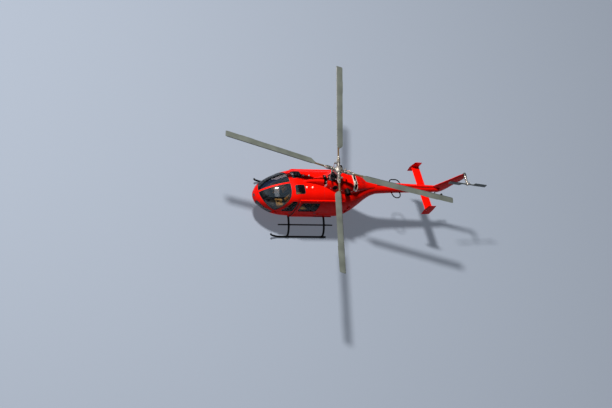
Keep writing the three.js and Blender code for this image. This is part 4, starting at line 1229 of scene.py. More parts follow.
RAIL_X = (-640, 1330)
HINGE_RADIUS, HINGE_HALF_HEIGHT, PIN_GAP, LUG_HEIGHT = 11, 32, 0.5, 18
HINGES = {
    # axis x and y, heights, where the strap's root and its leaf end, where the lug's arm ends, inner reach
    "front_door": (2104, 712, (940,), 2044, 1990, 2155, 635),
    "clamshell_door": (-1012, 786, (1180, 1440), -1020, -1060, -960, 715),
}
rail_band = pod_band(SLIDE_FACE + 4, -5, False)
groove_band = pod_band(SLIDE_FACE + 8, SLIDE_FACE - 8, False)
for name, side in SIDES.items():
    rails, insides = [], []
    for low, high in ((650, 689.5), (1790.5, 1825)):
        slot = [(RAIL_X[0], low), (RAIL_X[1], low), (RAIL_X[1], high), (RAIL_X[0], high)]
        middle = (low + high) / 2
        groove = [(RAIL_X[0] + 12, middle - 7), (RAIL_X[1] - 12, middle - 7), (RAIL_X[1] - 12, middle + 7),
                  (RAIL_X[0] + 12, middle + 7)]
        rails.append(carve(within(copied(rail_band, "rail"), flank(side, slot)),
                           within(copied(groove_band, "groove"), flank(side, groove, 5))))
        insides.append(within(pod_band(SLIDE_FACE - 6, SLIDE_FACE - 9, False), flank(side, groove)))
    paint_it(fused("door_rails_" + name, *rails), ENAMEL_RED, "fuselage", "red_paint")
    paint_it(fused("door_rail_tracks_" + name, *insides), BLACK_OXIDE, "fuselage", "dark_metal")
    for door, (x, y, heights, root_x, leaf_x, lug_x, reach_y) in HINGES.items():
        lugs, leaves = [], []
        for z in heights:
            for end in (-1, 1):
                low, high = (z + end * (HINGE_HALF_HEIGHT + PIN_GAP + h) for h in (0, LUG_HEIGHT))
                lugs.append(rod("lug", (x, y * side, low), (x, y * side, high),
                                HINGE_RADIUS, sides=24, bevel=1.5))
                lugs.append(within(block("lug_arm", (x, (y + 9) * side, low),
                                         (lug_x, reach_y * side, high), 2),
                                   carve(pod(60, False), pod(-WALL + 4, False))))
                lugs.append(bolt((x, y * side, high), (0, 0, end), 7, 5))
            leaves.append(rod("barrel", (x, y * side, z - HINGE_HALF_HEIGHT),
                              (x, y * side, z + HINGE_HALF_HEIGHT), HINGE_RADIUS, sides=24, bevel=1.5))
            leaves.append(carve(block("strap", (x, (y + 9) * side, z - 30),
                                      (leaf_x, reach_y * side, z + 30), 2),
                                pod(4, False)))
            leaves.append(within(block("strap_root", (root_x, (y + 9) * side, z - 30),
                                       (leaf_x, reach_y * side, z + 30)),
                                 carve(pod(9, False), pod(-WALL + 4, False))))
        paint_it(fused(f"{door}_lugs_{name}", *lugs), ENAMEL_RED, "fuselage", "red_paint")
        paint_it(fused(f"{door}_hinge_{name}", *leaves), ENAMEL_RED, f"{door}_{name}", "red_paint")
    # Handles: a shallow cup with a lever in it
    for door, x, z, offset in (("front_door", 1440, 1030, 0), ("sliding_door", 372, 1110, SLIDE_FACE)):
        face = pod_y(x, z) + offset
        cup = carve(block("cup", (x - 70, (face - 14) * side, z - 24),
                          (x + 70, (face + 3) * side, z + 24), 2),
                    block("cutter", (x - 62, (face - 9) * side, z - 17),
                          (x + 62, (face + 9) * side, z + 17), 3))
        lever = fused("lever", block("grip", (x - 56, (face - 1) * side, z - 10),
                                     (x + 40, (face + 9) * side, z + 8), 4),
                      turned("pivot", (x + 46, (face - 8) * side, z), (0, side, 0),
                             [(0, 14), (14, 14), (18, 11)], 24))
        paint_it(fused(f"{door}_handle_{name}", cup, lever), BLACK_OXIDE, f"{door}_{name}", "dark_metal")
for name, side in SIDES.items():
    # Each clamshell half ends in a raised edge strip along the middle
    low, high = sorted((DOOR_GAP / 2 * side, 34 * side))
    lip = within(carve(pod(3, False), pod(-WALL, False)),
                 block("cutter", (-1945, low, 500), (-1020, high, 1640)))
    paint_it(lip, ENAMEL_RED, "clamshell_door_" + name, "red_paint", name="clamshell_edge_strip_" + name)

# Tail: joint rings and the drive cover's joint, loop antennas, bumper, gearbox and tail rotor
def flowing(points, count):
    """Many places on a smooth curve through a few."""
    return [tuple(row) for row in between(points, count)]


def boom_radius(x):
    rows = np.array(between(BOOM, 60))[::-1]
    return float(np.interp(x, rows[:, 0], rows[:, 1]))


rings = []
for x, width in ((-2262, 26), (-2700, 14), (-3560, 14), (-4170, 14), (-4560, 14), (-4950, 22)):
    front, rear = boom_radius(x) + 2.5, boom_radius(x - width) + 2.5
    profile = [(0, rear - 8), (0, rear - 1), (1.5, rear),
               (width - 1.5, front), (width, front - 1), (width, front - 8)]
    rings.append(turned("ring", (x - width, 0, BOOM_Z), (1, 0, 0), profile, 72))
paint_it(fused("tail_boom_joint_rings", *rings), ENAMEL_RED, "fuselage", "red_paint")
# The real joint beside the drive cover is a 2 mm gap; it is drawn 12 mm wide so that it shows
joints = []
for side in SIDES.values():
    path = []
    for x, half, r in spine_rows[::2]:
        if x > -4900:
            path.append((x, (half + 1) * side, BOOM_Z + math.sqrt(boom_radius(x) ** 2 - half**2) + 1))
    joints.append(tube("joint", path, 6, 8, 0))
paint_it(fused("drive_cover_joints", *joints), RUBBER, "fuselage", "dark_metal")
cover_bands = []
for x in (-2480, -2900, -3330, -3780, -4230, -4660):
    xs, halves, radii = np.array(spine_rows)[::-1].T
    half, r = float(np.interp(x, xs, halves)), float(np.interp(x, xs, radii))
    cover_bands.append(skin("band", [spine_ring(x + dx, half + 2.5, r, 42) for dx in (-13, 13)]))
paint_it(fused("drive_cover_bands", *cover_bands), ENAMEL_RED, "fuselage", "red_paint")

# The loops' ends stand out from the boom's sides at a height below its axis
LOOP_DROP = 50
LOOP_Z = BOOM_Z - LOOP_DROP
for name, side, near, far in (("left", 1, -3070, -3450), ("right", -1, -3110, -3600)):
    path = [(near, 150), (near, 235), (near - 20, 318), (near - 70, 384), (near - 150, 420), (far + 150, 420),
            (far + 70, 384), (far + 20, 318), (far, 235), (far, 150)]
    loop = tube("loop_antenna_rod_" + name, [(x, y * side, LOOP_Z) for x, y in flowing(path, 60)], 22, 16, 0)
    paint_it(loop, POWDER_BLACK, "fuselage", "dark_metal", "loop_antenna_" + name)
    feet = []
    for x in (near, far):
        y = math.sqrt(boom_radius(x) ** 2 - LOOP_DROP**2)
        feet.append(turned("foot", (x, (y - 12) * side, LOOP_Z), (0, side, 0), [
            (0, 34), (8, 34), (14, 31), (18, 26), (48, 23), (54, 20), (56, 17)], 28))
    paint_it(fused("loop_antenna_feet_" + name, *feet), POWDER_BLACK, "fuselage", "dark_metal")

bumper_path = flowing([(-5290, 0, 1560), (-5330, 0, 1350), (-5400, 0, 1262), (-5530, 0, 1232),
                       (-5660, 0, 1270), (-5728, 0, 1314)], 40)
bumper = fused("tail_bumper_tube", tube("bumper", bumper_path, 20, 20, 0),
               turned("pad", (-5668, 0, 1275), (-44, 0, 28), [
                   (0, 21), (6, 38), (20, 50), (70, 52), (88, 46), (98, 30), (102, 6)], 32))
paint_it(bumper, POWDER_BLACK, "fuselage", "black_paint", "tail_bumper")

TAIL_X, TAIL_Z = -5950, 2790
TAIL_HUB = (TAIL_X, 430, TAIL_Z)
tail_box = fused(
    "tail_gearbox_housing",
    turned("case", (TAIL_X, -80, TAIL_Z), (0, 1, 0), [
        (0, 20), (0, 44), (5, 52), (12, 66), (26, 66), (30, 60), (44, 60), (46, 66), (54, 66), (56, 60),
        (70, 60), (72, 66), (80, 66), (82, 60), (96, 60), (98, 66), (106, 66), (108, 60), (124, 60),
        (126, 66), (150, 66), (156, 62), (200, 62), (208, 56), (212, 48), (290, 45), (296, 50), (310, 50),
        (316, 44), (352, 42), (359, 40), (359, 20)], 40),
    turned("filler", (TAIL_X, 60, TAIL_Z + 60), (0, 0, 1), [(-10, 15), (0, 15), (2, 19), (12, 19),
                                                            (16, 12), (16, 2)], 20))
paint_it(tail_box, BLACK_OXIDE, "fuselage", "dark_metal", "tail_gearbox")
rings = [turned("ring", (TAIL_X, y - 80, TAIL_Z), (0, 1, 0), [(0, r), (2, r + 3), (w - 2, r + 3), (w, r)], 40)
         for y, w, r in ((162, 34, 61), (232, 44, 46), (318, 26, 42.5))]
paint_it(fused("tail_output_rings", *rings), TITANIUM, "fuselage", "dark_metal")
paint_it(fused("tail_gearbox_bolts", *bolt_circle((TAIL_X, -74, TAIL_Z), (0, -1, 0), 57, 8, 5.5, 7),
               *bolt_circle((TAIL_X, 70, TAIL_Z), (0, 1, 0), 58, 10, 5, 6)), PLATED_STEEL,
         "fuselage", "dark_metal")

# Tail rotor, modelled with its blades along X and turned to its phase
TAIL_PHASE = math.radians(9.5)
tail_turn = (Matrix.Translation(at(*TAIL_HUB)) @ Matrix.Rotation(-TAIL_PHASE, 4, "Y")
             @ Matrix.Translation(-at(0, 0, 0)))
YOKE = [(-150, -14), (-110, -22), (110, -22), (150, -14), (150, 14), (110, 22), (-110, 22), (-150, 14)]
tail_hub = fused(
    "tail_rotor_yoke",
    turned("shaft", (0, -149, 0), (0, 1, 0), [
        (0, 24), (0, 28), (90, 28), (94, 34), (106, 34), (108, 28), (119, 28), (119, 54), (123, 60),
        (175, 60), (180, 54), (180, 34), (186, 30), (189, 26), (189, 8)], 36),
    prism("top", YOKE, -30, 30, 6, "yoke"),
    *[rod("hinge_pin", (x, -27, 0), (x, 27, 0), 13, sides=20, bevel=2) for x in (-128, 128)],
    *[block("pitch_arm", (x - 14, -64, 18 * s), (x + 14, -18, 44 * s), 4) for x, s in ((-100, 1), (100, -1))])
soften(tail_hub, 2, 2, 40)
paint_it(moved(tail_hub, tail_turn), SEALED_FORGING, "tail_rotor", "hub_metal", "tail_rotor_hub")
tail_links = fused(
    "tail_rotor_pitch_links",
    turned("spider", (0, -112, 0), (0, 1, 0), [(0, 31), (0, 46), (14, 46), (16, 31)], 28),
    *[part for x, z in ((-100, 31), (100, -31)) for part in (
        rod("link", (x * 0.4, -104, z), (x, -58, z), 6, sides=12),
        ball("end", (x, -56, z), 11, segments=14, rings=8),
        block("horn", (min(0, x * 0.42), -110, z - 8), (max(0, x * 0.42), -98, z + 8), 3))])
paint_it(moved(tail_links, tail_turn), PLATED_STEEL, "tail_rotor", "hub_metal")
paint_it(moved(fused("tail_rotor_bolts", *bolt_circle((0, 31, 0), (0, 1, 0), 44, 6, 7, 8)), tail_turn),
         PLATED_STEEL, "tail_rotor", "hub_metal")
TAIL_SECTIONS = [(150.3, 60, 40, 0, 0), (200, 60, 32, 0, 0), (260, 74, 28, 0, 0.2), (330, 176, 22, 0, 1),
                 (925, 178, 18, 0, 1), (950, 150, 12, 0, 1)]
tail_blade = skin("tail_blade", [[(r, v, u) for r, u, v in blade_ring(*row)]
                                 for row in lengthened(TAIL_SECTIONS, 30)])
tail_strip = skin("tail_strip", [[(r, v, u) for r, u, v in strip_ring(*row[:4])]
                                 for row in lengthened([(360, 178, 22, 0, 1), (920, 178, 18, 0, 1)], 60)])
for name, turn in (("forward", 0), ("aft", math.pi)):
    spin = tail_turn @ about_mast(turn, "Y")
    paint_it(moved(copied(tail_blade, "tail_rotor_blade_skin_" + name), spin), BLADE_GREY, "tail_rotor",
             "blade_grey", "tail_rotor_blade_" + name)
    paint_it(moved(copied(tail_strip, "tail_rotor_erosion_strip_" + name), spin), BLACK_OXIDE,
             "tail_rotor", "blade_grey")

# Landing gear: bent cross tubes in saddles, steps with grit tape, skid tubes with bows and end plugs
SKID_Y, SKID_Z, STEP_Y, STEP_Z = 1252, 38, 959, 451
SADDLE_Y, BELLY_TUBE_Z, EAR_BOTTOM = 330, 539.7, 561
CROSS_X = {"front": 1200, "rear": -400}
LEG = [(SKID_Y, 60), (1232, 120), (1165, 225), (1060, 318), (930, 398), (780, 470),
       (640, 520), (500, BELLY_TUBE_Z)]
for name, x in CROSS_X.items():
    half = [(x, y, z) for y, z in flowing(LEG, 40)]
    path = half + [(x, -y, z) for _, y, z in half[::-1]]
    tube_ = tube("cross_tube_sleeve_" + name, path, 40, 28, 0)
    carve(tube_, pod(SEAT_GAP, False))
    paint_it(tube_, POWDER_BLACK, "fuselage", "black_paint", "cross_tube_" + name)
    saddles = []
    for side in SIDES.values():
        # Belly saddles: a strap round the tube with two bolted ears
        y = SADDLE_Y * side
        saddles.append(turned("strap", (x, y - 32, BELLY_TUBE_Z), (0, 1, 0),
                              [(0, 42), (2, 46), (62, 46), (64, 42)], 32))
        saddles.append(block("ear", (x - 78, y - 30, EAR_BOTTOM), (x + 78, y + 30, EAR_BOTTOM + 18.5), 4))
        saddles += [bolt((x + dx, y + dy, EAR_BOTTOM), (0, 0, -1), 9, 8)
                    for dx in (-62, 62) for dy in (-16, 16)]
    paint_it(fused(f"cross_tube_saddles_{name}", *saddles), CAST_ALLOY, "fuselage", "light_alloy")
    shoes = []
    for side in SIDES.values():
        shoes.append(turned("clamp", (x - 85, SKID_Y * side, SKID_Z), (1, 0, 0), [
            (0, 38.5), (2, 42), (60, 42), (64, 45), (106, 45), (110, 42), (168, 42), (170, 38.5)], 36))
        leg_line = Vector((0, (LEG[1][0] - SKID_Y) * side, 60))
        shoes.append(turned("socket", (x, SKID_Y * side, 62), leg_line, [(0, 52), (14, 50), (44, 48),
                                                                         (48, 45), (50, 41)], 32))
        shoes += [bolt((x + dx, (SKID_Y + 42) * side, 62), (0, side, 0.25), 7, 6) for dx in (-70, 70)]
        shoes.append(turned("step_clamp", (x - 46, STEP_Y * side, STEP_Z), (1, 0, 0), [
            (0, 28), (2, 32), (90, 32), (92, 28)], 28))
        shoes.append(rod("step_strap", (x, (STEP_Y - 22) * side, STEP_Z - 66),
                         (x, (STEP_Y + 6) * side, STEP_Z + 4), 46, 27, sides=28, bevel=3))
    shoes = fused("skid_shoes_" + name, *shoes)
    carve(shoes, block("cutter", (x - 300, -2000, -100), (x + 300, 2000, 0.5)))
    paint_it(shoes, POWDER_BLACK, "fuselage", "black_paint")
BOW = [(1440, SKID_Z), (1490, SKID_Z), (1620, 46), (1800, 98), (1945, 158), (2012, 223)]
for name, side in SIDES.items():
    y = SKID_Y * side
    path = [(x, y, SKID_Z) for x in (-560, -200, 600)] + [(x, y, z) for x, z in flowing(BOW, 30)]
    skid = fused("skid_tube_" + name, tube("skid", path, 37.6, 32, 0),
                 turned("plug", (-556, y, SKID_Z), (-1, 0, 0), [(0, 36), (4, 33), (10, 24), (14, 8)], 32),
                 turned("bow_plug", (2010, y, 221), (67, 0, 65), [(0, 36), (5, 32), (11, 22), (14, 6)], 32))
    paint_it(skid, POWDER_BLACK, "fuselage", "black_paint", "skid_" + name)
    # Wear shoes: hardened strips under the tube, worn bright
    worn = []
    for x0, x1 in ((-540, -240), (-120, 380), (520, 1050), (1300, 1470)):
        profile = [(0, 37.9), (2, 38), (x1 - x0 - 2, 38), (x1 - x0, 37.9)]
        worn.append(carve(turned("wear", (x0, y, SKID_Z), (1, 0, 0), profile, 48),
                          block("cutter", (x0 - 10, y - 60, 16), (x1 + 10, y + 60, 90))))
    paint_it(fused("skid_wear_shoes_" + name, *worn), PLATED_STEEL, "fuselage", "black_paint")
    bar = fused("step_tube_" + name,
                rod("bar", (-736, STEP_Y * side, STEP_Z), (1716, STEP_Y * side, STEP_Z), 27, sides=32),
                *[turned("cap", (x, STEP_Y * side, STEP_Z), (s, 0, 0), [(0, 27), (3, 25), (4, 10)], 32)
                  for x, s in ((-736, -1), (1716, 1))])
    paint_it(bar, POWDER_BLACK, "fuselage", "black_paint", "step_" + name)
    grit = [carve(rod("grit", (x0, STEP_Y * side, STEP_Z), (x1, STEP_Y * side, STEP_Z), 28.2, sides=32),
                  block("cutter", (x0 - 10, STEP_Y * side - 50, 400),
                        (x1 + 10, STEP_Y * side + 50, STEP_Z + 12)))
            for x0, x1 in ((-640, -480), (-320, 500), (640, 1110), (1290, 1640))]
    paint_it(fused("step_grit_tape_" + name, *grit), GRIT_TAPE, "fuselage", "black_paint")

# Cabin: carpet, seats on tube frames with stuffed leather cushions, harnesses, panel and controls
refinish(frame["nodes"]["cabin_floor"], CARPET)
FLOOR_TOP = 690.3
CREW_SEAT_X, CREW_Y, CREW_HALF_WIDTH = 1420, 340, 228
BENCH_X, BENCH_HALF_WIDTH, BENCH_PITCH = 420, 203, 412
BACK_LINES = ((-10, 230), (-110, 880)), ((110, 240), (-20, 900))
PAN_LINES = ((20, 220), (500, 250)), ((20, 310), (500, 340))


def seat_outline(x, lines, corners):
    """Corners on a seat at x, as x, z: each a share from the first line to the second, and one along them."""
    result = []
    for share, along in corners:
        a, b = (Vector(line[0]).lerp(Vector(line[1]), along) for line in lines)
        place = a.lerp(b, share)
        result.append((x + place.x, FLOOR_TOP + place.y))
    return result


def stuffed(obj, cap, voxel=6.0):
    """Blows a cushion's cover out as cloth under pressure; no point moves further than the cap."""
    modify(obj, "REMESH", mode="VOXEL", voxel_size=voxel * MM)
    before = np.array([v.co for v in obj.data.vertices])
    only(obj)
    cloth = obj.modifiers.new("cloth", "CLOTH")
    cloth.settings.use_pressure = True
    cloth.settings.uniform_pressure_force = 4
    cloth.settings.effector_weights.gravity = 0
    for moment in range(1, 21):
        bpy.context.scene.frame_set(moment)
    bpy.ops.object.modifier_apply(modifier=cloth.name)
    bpy.context.scene.frame_set(1)
    after = np.array([v.co for v in obj.data.vertices])
    move = after - before
    length = np.maximum(np.linalg.norm(move, axis=1, keepdims=True), 1e-9)
    after = before + move * np.minimum(1, cap * MM / length)
    obj.data.vertices.foreach_set("co", after.ravel())
    obj.data.update()
    return obj


def sewn(obj, outwards, lines, depth=7, width=11):
    """Draws the cover in along sewn lines, each a place on the line and the direction across it."""
    outwards = np.array(Vector(outwards).normalized())
    places = np.array([v.co for v in obj.data.vertices])
    normals = np.array([v.normal for v in obj.data.vertices])
    facing = np.clip(normals @ outwards * 2 - 0.4, 0, 1)
    for place, direction in lines:
        distance = (places - np.array(at(*place))) @ np.array(Vector(direction).normalized()) / MM
        places -= outwards * (depth * MM * facing * np.exp(-(distance / width) ** 2))[:, None]
    obj.data.vertices.foreach_set("co", places.ravel())
    obj.data.update()
    return obj


def welt(cushion, corners, radius=5.0):
    """Piping round a face of a cushion, laid on its surface."""
    path = []
    for a, b in zip(corners, corners[1:] + corners[:1]):
        for i in range(14):
            wanted = at(*a).lerp(at(*b), i / 14)
            place = cushion.closest_point_on_mesh(wanted)[1]
            path.append(((place.x - MAST_X) / MM, place.y / MM, place.z / MM))
    return tube("welt", path + path[:1], radius, 8, 0)


def ribbon(name, points, across, width=46, thickness=3):
    """A flat strap through places, lying across a direction."""
    ways = [Vector(b) - Vector(a) for a, b in zip(points, points[1:])]
    rings = []
    for i, point in enumerate(points):
        way = (ways[max(0, i - 1)] + ways[min(i, len(ways) - 1)]).normalized()
        wide = (Vector(across) - way * Vector(across).dot(way)).normalized() * width / 2
        thick = way.cross(wide).normalized() * thickness / 2
        p = Vector(point)
        rings.append([tuple(p + wide + thick), tuple(p - wide + thick), tuple(p - wide - thick),
                      tuple(p + wide - thick)])
    return skin(name, rings)


def on_cushion(cushion, place, lift=4):
    """A place on a cushion's surface, raised a little."""
    _, point, normal, _ = cushion.closest_point_on_mesh(at(*place))
    point = point + normal * lift * MM
    return ((point.x - MAST_X) / MM, point.y / MM, point.z / MM)


def seat_parts(x, y0, y1):
    """One seat's pieces, by name: cushions with their piping, shell, frame and harness."""
    middle, wide = (y0 + y1) / 2, y1 - y0
    pan = seat_outline(x, PAN_LINES, [(0.3, 0.21), (0.3, 1), (1, 1), (1, 0.19)])
    back = seat_outline(x, BACK_LINES, [(0.34, 0.14), (0.34, 0.72), (1, 0.7), (1, 0.13)])
    head = seat_outline(x, BACK_LINES, [(0.4, 0.755), (0.4, 0.99), (0.95, 0.98), (0.95, 0.745)])
    seat = stuffed(soften(prism("side", inset(pan, 7), y0 + 10, y1 - 10, 16, "seat"), 14, 3, 60), 12)
    rest = stuffed(soften(prism("side", inset(back, 7), y0 + 10, y1 - 10, 16, "rest"), 14, 3, 60), 12)
    pad = stuffed(soften(prism("side", inset(head, 6), middle - 118, middle + 118, 14, "pad"), 12, 3, 60), 9)
    up = Vector((-30, 0, 480))
    forward = Vector((660, 0, 130))
    lengthways = [((0, middle + share * wide, 0), (0, 1, 0)) for share in (-0.3, 0.3)]
    sewn(seat, up, lengthways + [((x + dx, 0, 0), (1, 0, 0)) for dx in (250, 375)])
    sewn(rest, forward, lengthways + [((0, 0, FLOOR_TOP + dz), (0, 0, 1)) for dz in (430, 560)])
    welts = []
    for cushion, lines, shares in ((seat, PAN_LINES, (0.23, 0.97)), (rest, BACK_LINES, (0.15, 0.69))):
        (ax, az), (bx, bz) = seat_outline(x, lines, [(0.95, share) for share in shares])
        welts.append(welt(cushion, [(ax, y0 + 18, az), (bx, y0 + 18, bz),
                                    (bx, y1 - 18, bz), (ax, y1 - 18, az)]))
    shells = [prism("side", seat_outline(x, lines, [(0, 0), (0, 1), (share, 1), (share, 0)]),
                    y0 + 4, y1 - 4, corner)
              for lines, share, corner in ((BACK_LINES, 0.28, 8), (PAN_LINES, 0.26, 6))]
    shell = soften(fused("shell", *shells), 6, 2, 60)
    tubes = []
    for y in (y0 + 70, y1 - 70):
        hoop = [(x + dx, y, FLOOR_TOP + dz) for dx, dz in
                ((40, 14), (44, 120), (60, 205), (210, 216), (360, 205), (376, 120), (380, 14))]
        tubes.append(tube("side_frame", flowing(hoop, 36), 13, 16, 0))
        tubes.append(carve(block("rail", (x - 40, y - 20, FLOOR_TOP), (x + 460, y + 20, FLOOR_TOP + 20), 2),
                           block("cutter", (x - 30, y - 7, FLOOR_TOP + 8), (x + 450, y + 7, FLOOR_TOP + 40))))
    tubes += [rod("cross", (x + fx, y0 + 70, FLOOR_TOP + 120),
                  (x + fx, y1 - 70, FLOOR_TOP + 120), 11, sides=20)
              for fx in (45, 375)]
    straps = []
    buckle = on_cushion(seat, (x + 190, middle, FLOOR_TOP + 345), 10)
    for s in (-1, 1):
        slot = seat_outline(x, BACK_LINES, [(0.2, 0.737), (1.02, 0.737)])
        path = [(px, middle + 70 * s, pz) for px, pz in slot]
        for i in range(9):
            (px, pz), = seat_outline(x, BACK_LINES, [(1.05, 0.69 - 0.06 * i)])
            path.append(on_cushion(rest, (px, middle + (70 - 5 * i) * s, pz), 4))
        path.append((buckle[0] - 30, middle + 16 * s, buckle[2] + 4))
        straps.append(ribbon("shoulder_strap", path, (0, 1, 0)))
        lap = [(x + 112, y0 + 4 if s < 0 else y1 - 4, FLOOR_TOP + 250)]
        for i in range(8):
            out = wide / 2 - 12 - i * (wide / 2 - 40) / 7
            lap.append(on_cushion(seat, (x + 130 + 7 * i, middle + s * out, FLOOR_TOP + 350), 4))
        straps.append(ribbon("lap_strap", lap, (1, 0, 0)))
    fitting = turned("buckle", (buckle[0], buckle[1], buckle[2] - 6), (0, 0, 1), [
        (0, 30), (3, 34), (14, 34), (18, 30), (18, 24), (22, 22), (24, 10)], 28)
    return {"cushion": (seat, LEATHER_TAN), "back_cushion": (rest, LEATHER_TAN),
            "head_cushion": (pad, LEATHER_TAN), "piping": (fused("piping", *welts), LEATHER_TAN),
            "shell": (shell, ABS_CHARCOAL), "frame": (fused("frame", *tubes), CAST_ALLOY),
            "harness": (fused("harness", *straps), WEBBING), "harness_buckle": (fitting, PLATED_STEEL)}


def seated(parts, seat_name, node, shift=None, mirror=False):
    """Sets a seat's pieces in the cabin: the same ones, moved or mirrored."""
    for part, (obj, material) in parts.items():
        piece = copied(obj, f"{seat_name}_{part}")
        if shift:
            moved(piece, Matrix.Translation(Vector(shift) * MM))
        if mirror:
            moved(piece, Matrix.Scale(-1, 4, (0, 1, 0)))
        kind = "upholstery" if material in (LEATHER_TAN, WEBBING) else "interior_trim"
        paint_it(piece, material, "fuselage", kind, *([node] if part == "cushion" else []))


front_parts = seat_parts(CREW_SEAT_X, CREW_Y - CREW_HALF_WIDTH, CREW_Y + CREW_HALF_WIDTH)
seated(front_parts, "front_seat_left", "front_seat_left")
seated(front_parts, "front_seat_right", "front_seat_right", mirror=True)
bench_parts = seat_parts(BENCH_X, -BENCH_HALF_WIDTH, BENCH_HALF_WIDTH)
seated(bench_parts, "bench_seat_centre", "rear_bench")
for name, side in SIDES.items():
    seated(bench_parts, "bench_seat_" + name, "rear_bench", (0, BENCH_PITCH * side, 0))

CONSOLE = [(2080, FLOOR_TOP), (2380, FLOOR_TOP), (2440, 1020), (2300, 1180), (2200, 1180)]
HOOD = [(2170, 1150), (2330, 1172), (2330, 1188), (2200, 1196), (2150, 1172)]
console = prism("side", inset(CONSOLE, 2), -CREW_HALF_WIDTH, CREW_HALF_WIDTH, 24, "panel_console")
soften(console, 12, 3, 50)
within(console, pod(-WALL - 20))
hood = within(prism("side", HOOD, -246, 246, 8, "hood"), pod(-WALL - 12))
console = fused("instrument_console", console, hood)
paint_it(console, ABS_CHARCOAL, "fuselage", "interior_trim", "instrument_panel")
face_normal = Vector((-490, 0, 120)).normalized()
dials, bezels = [], []
for row, (height, radius, columns) in enumerate(((1090, 36, 5), (1000, 36, 5), (925, 24, 6))):
    x = 2080 + (height - FLOOR_TOP) / (1180 - FLOOR_TOP) * 120
    for column in range(columns):
        y = (column - (columns - 1) / 2) * (radius * 2 + 11)
        place = Vector((x, y, height)) - face_normal * 1
        bezels.append(turned("bezel", place, face_normal, [
            (-6, radius), (5, radius), (8, radius - 2), (8, radius - 5), (3, radius - 6), (3, 2)], 28))
        dials.append(turned("dial", place + face_normal * 3.2, face_normal,
                            [(0, radius - 6), (0.8, radius - 7), (0.8, 2)], 28))
paint_it(fused("instrument_bezels", *bezels), BLACK_OXIDE, "fuselage", "interior_trim")
paint_it(fused("instrument_faces", *dials), DIAL_FACE, "fuselage", "interior_trim")

controls, grips = [], []
for side in SIDES.values():
    y = CREW_Y * side
    stick = [(x, y, z) for x, z in ((1890, 690), (1905, 860), (1880, 1000), (1900, 1120))]
    controls.append(tube("cyclic", flowing(stick, 24), 11, 12, 0))
    grips.append(turned("grip", (1898, y, 1100), (0.18, 0, 1), [(0, 14), (6, 19), (40, 16), (80, 17),
                                                                (104, 22), (118, 20), (124, 8)], 20))
    grips.append(turned("boot", (1890, y, 690), (0.05, 0, 1), [(0, 62), (12, 60), (22, 44), (34, 42),
                                                               (44, 28), (58, 24), (66, 13)], 28))
    controls.append(rod("collective", (1500, y - 270, 730), (1830, y - 270, 905), 12, sides=16))
    grips.append(rod("collective_grip", (1800, y - 270, 889), (1905, y - 270, 945), 18, sides=20, bevel=4))
    for s in (-1, 1):
        pedal_arm = [(x, y + 75 * s, z) for x, z in ((2120, 700), (2190, 800), (2200, 880))]
        controls.append(tube("pedal_arm", flowing(pedal_arm, 12), 9, 12, 0))
        pedal = [(y + 75 * s + dy, z) for dy, z in ((-42, 858), (42, 858), (42, 918), (-42, 918))]
        grips.append(prism("front", pedal, 2176, 2190, 10, "pedal"))
paint_it(fused("flight_control_sticks", *controls), BLACK_OXIDE, "fuselage", "interior_trim")
paint_it(fused("flight_control_grips", *grips), RUBBER, "fuselage", "interior_trim")

# Lamps: side lights on the endplates, a tail light, a beacon and a landing lamp under the belly
for name, side in SIDES.items():
    y = STABILIZER_HALF_SPAN + 13
    lamp = turned("lamp", (-4400, y * side, 1735), (0, side, 0), [(-6, 17), (0, 17), (10, 16),
                                                                  (18, 11), (22, 3)], 24)
    paint_it(fused("side_light_" + name, lamp), LENS["red" if side > 0 else "green"], "fuselage")
    foot = turned("foot", (-4400, (y - 8) * side, 1735), (0, side, 0),
                  [(0, 24), (6, 24), (9, 20), (9, 10)], 28)
    paint_it(fused("side_light_foot_" + name, foot), BLACK_OXIDE, "fuselage", "dark_metal")
tail_lamp = turned("tail_light", (-5995, 0, 2330), (-1, 0, -0.55), [(-30, 17), (0, 17), (12, 15),
                                                                    (19, 9), (21, 2)], 24)
paint_it(tail_lamp, LENS["clear"], "fuselage")
beacon = turned("belly_beacon", (-760, 0, 584), (0, 0, -1), [(0, 42), (34, 40), (56, 30),
                                                             (68, 14), (70, 4)], 32)
paint_it(beacon, LENS["red"], "fuselage")
beacon_foot = turned("belly_beacon_foot", (-760, 0, 592), (0, 0, -1),
                     [(0, 56), (8, 56), (14, 50), (14, 30)], 32)
paint_it(beacon_foot, BLACK_OXIDE, "fuselage", "dark_metal")
lamp_case = turned("landing_lamp_case", (1880, 0, 600), (0.25, 0, -1), [
    (-20, 70), (30, 70), (44, 78), (58, 80), (64, 76), (64, 70), (54, 66), (50, 20)], 40)
paint_it(lamp_case, POWDER_BLACK, "fuselage", "dark_metal")
paint_it(turned("landing_lamp_lens", (1880 + 14, 0, 600 - 54), (0.25, 0, -1),
                [(-4, 64), (0, 66), (4, 60), (8, 30), (9, 3)], 40), LENS["clear"], "fuselage")
for x, bottom in ((900, 580), (300, 580), (-1750, 1190)):
    outline = [(x, bottom + 12), (x - 30, bottom - 118), (x - 82, bottom - 118), (x - 92, bottom + 12)]
    blade_aerial = prism("side", outline, -7, 7, 12, "belly_aerial")
    blade_aerial = soften(blade_aerial, 4, 2, 60)
    paint_it(blade_aerial, POWDER_BLACK, "fuselage", "dark_metal",
             name=f"belly_aerial_{abs(x)}_{'front' if x > 0 else 'rear'}")


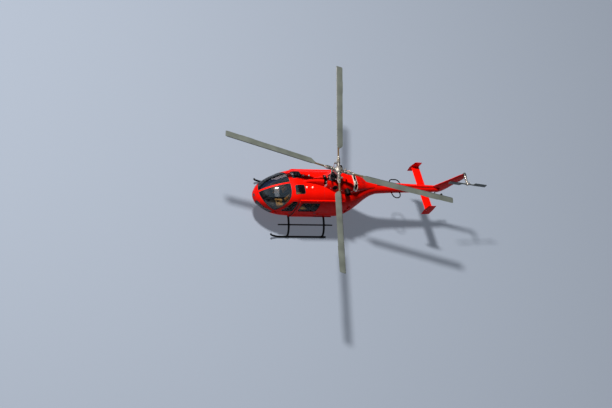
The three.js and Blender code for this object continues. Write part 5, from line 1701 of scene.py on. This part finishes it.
# Floor and light
bpy.ops.mesh.primitive_plane_add(size=600, location=(0, 0, -0.002))
floor = placed("studio_floor")
FLOOR, tree, shader, place = new_material("studio_floor_paint", Base_Color=linear("#737e8e"), Roughness=0.9,
                                          Emission_Color=linear("#b4c0d2"), Emission_Strength=0.25)
floor.data.materials.append(FLOOR)
floor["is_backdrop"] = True

LIGHTS = {
    # centre in metres from the mast, which way its back faces and its long side runs, width, length,
    # brightness, colour, and whether it lights matt surfaces too: the cards are seen only in gloss
    "key": ((26.0, -17.0, 52.0), (26.0, -17.0, 52.0), (0, 1, 0), 6.5, 6.5, 640, "#fff6ec", True),
    "right_card": ((1.8, -27.0, 12.5), (1.8, -27.0, 12.5), (1, 0, 0), 12, 12, 2.4, "#ffeef0", False),
    "right_sky": ((22.0, -34.0, 20.0), (22.0, -34.0, 20.0), (0, 0, 1), 46, 22, 0.7, "#6f92d8", False),
    "sky_card": ((29.5, -2.5, 40.0), (0, 0, 1), (0, 1, 0), 65, 95, 0.72, "#a9c4dc", False),
    "streak_card": ((26.0, 12.0, 39.5), (0, 0, 1), (0.22, 1, 0), 9, 56, 1.6, "#eef3ff", False),
}
for name, (centre, back, along, width, length, brightness, colour, lights_all) in LIGHTS.items():
    light = bpy.data.lights.new(name, "AREA")
    light.shape = "ELLIPSE" if lights_all else "RECTANGLE"
    light.size, light.size_y = width, length
    light.energy = brightness * math.pi * width * length * (math.pi / 4 if lights_all else 1)
    light.color = linear(colour)[:3]
    lamp = bpy.data.objects.new(name, light)
    back = Vector(back).normalized()
    along = (Vector(along) - back * back.dot(Vector(along))).normalized()
    turn = Matrix((along.cross(back), along, back)).transposed().to_4x4()
    lamp.matrix_world = Matrix.Translation(at(0, 0, 1500) + Vector(centre)) @ turn
    lamp.visible_camera = False
    lamp.visible_diffuse = lights_all
    bpy.context.scene.collection.objects.link(lamp)
world = bpy.data.worlds.new("studio")
world.use_nodes = True
world.node_tree.nodes["Background"].inputs["Color"].default_value = linear("#c3cfe0")
world.node_tree.nodes["Background"].inputs["Strength"].default_value = 0.06
bpy.context.scene.world = world

for obj in [o for o in bpy.data.objects if o.type == "MESH" and o.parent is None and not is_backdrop(o)]:
    bpy.data.objects.remove(obj)
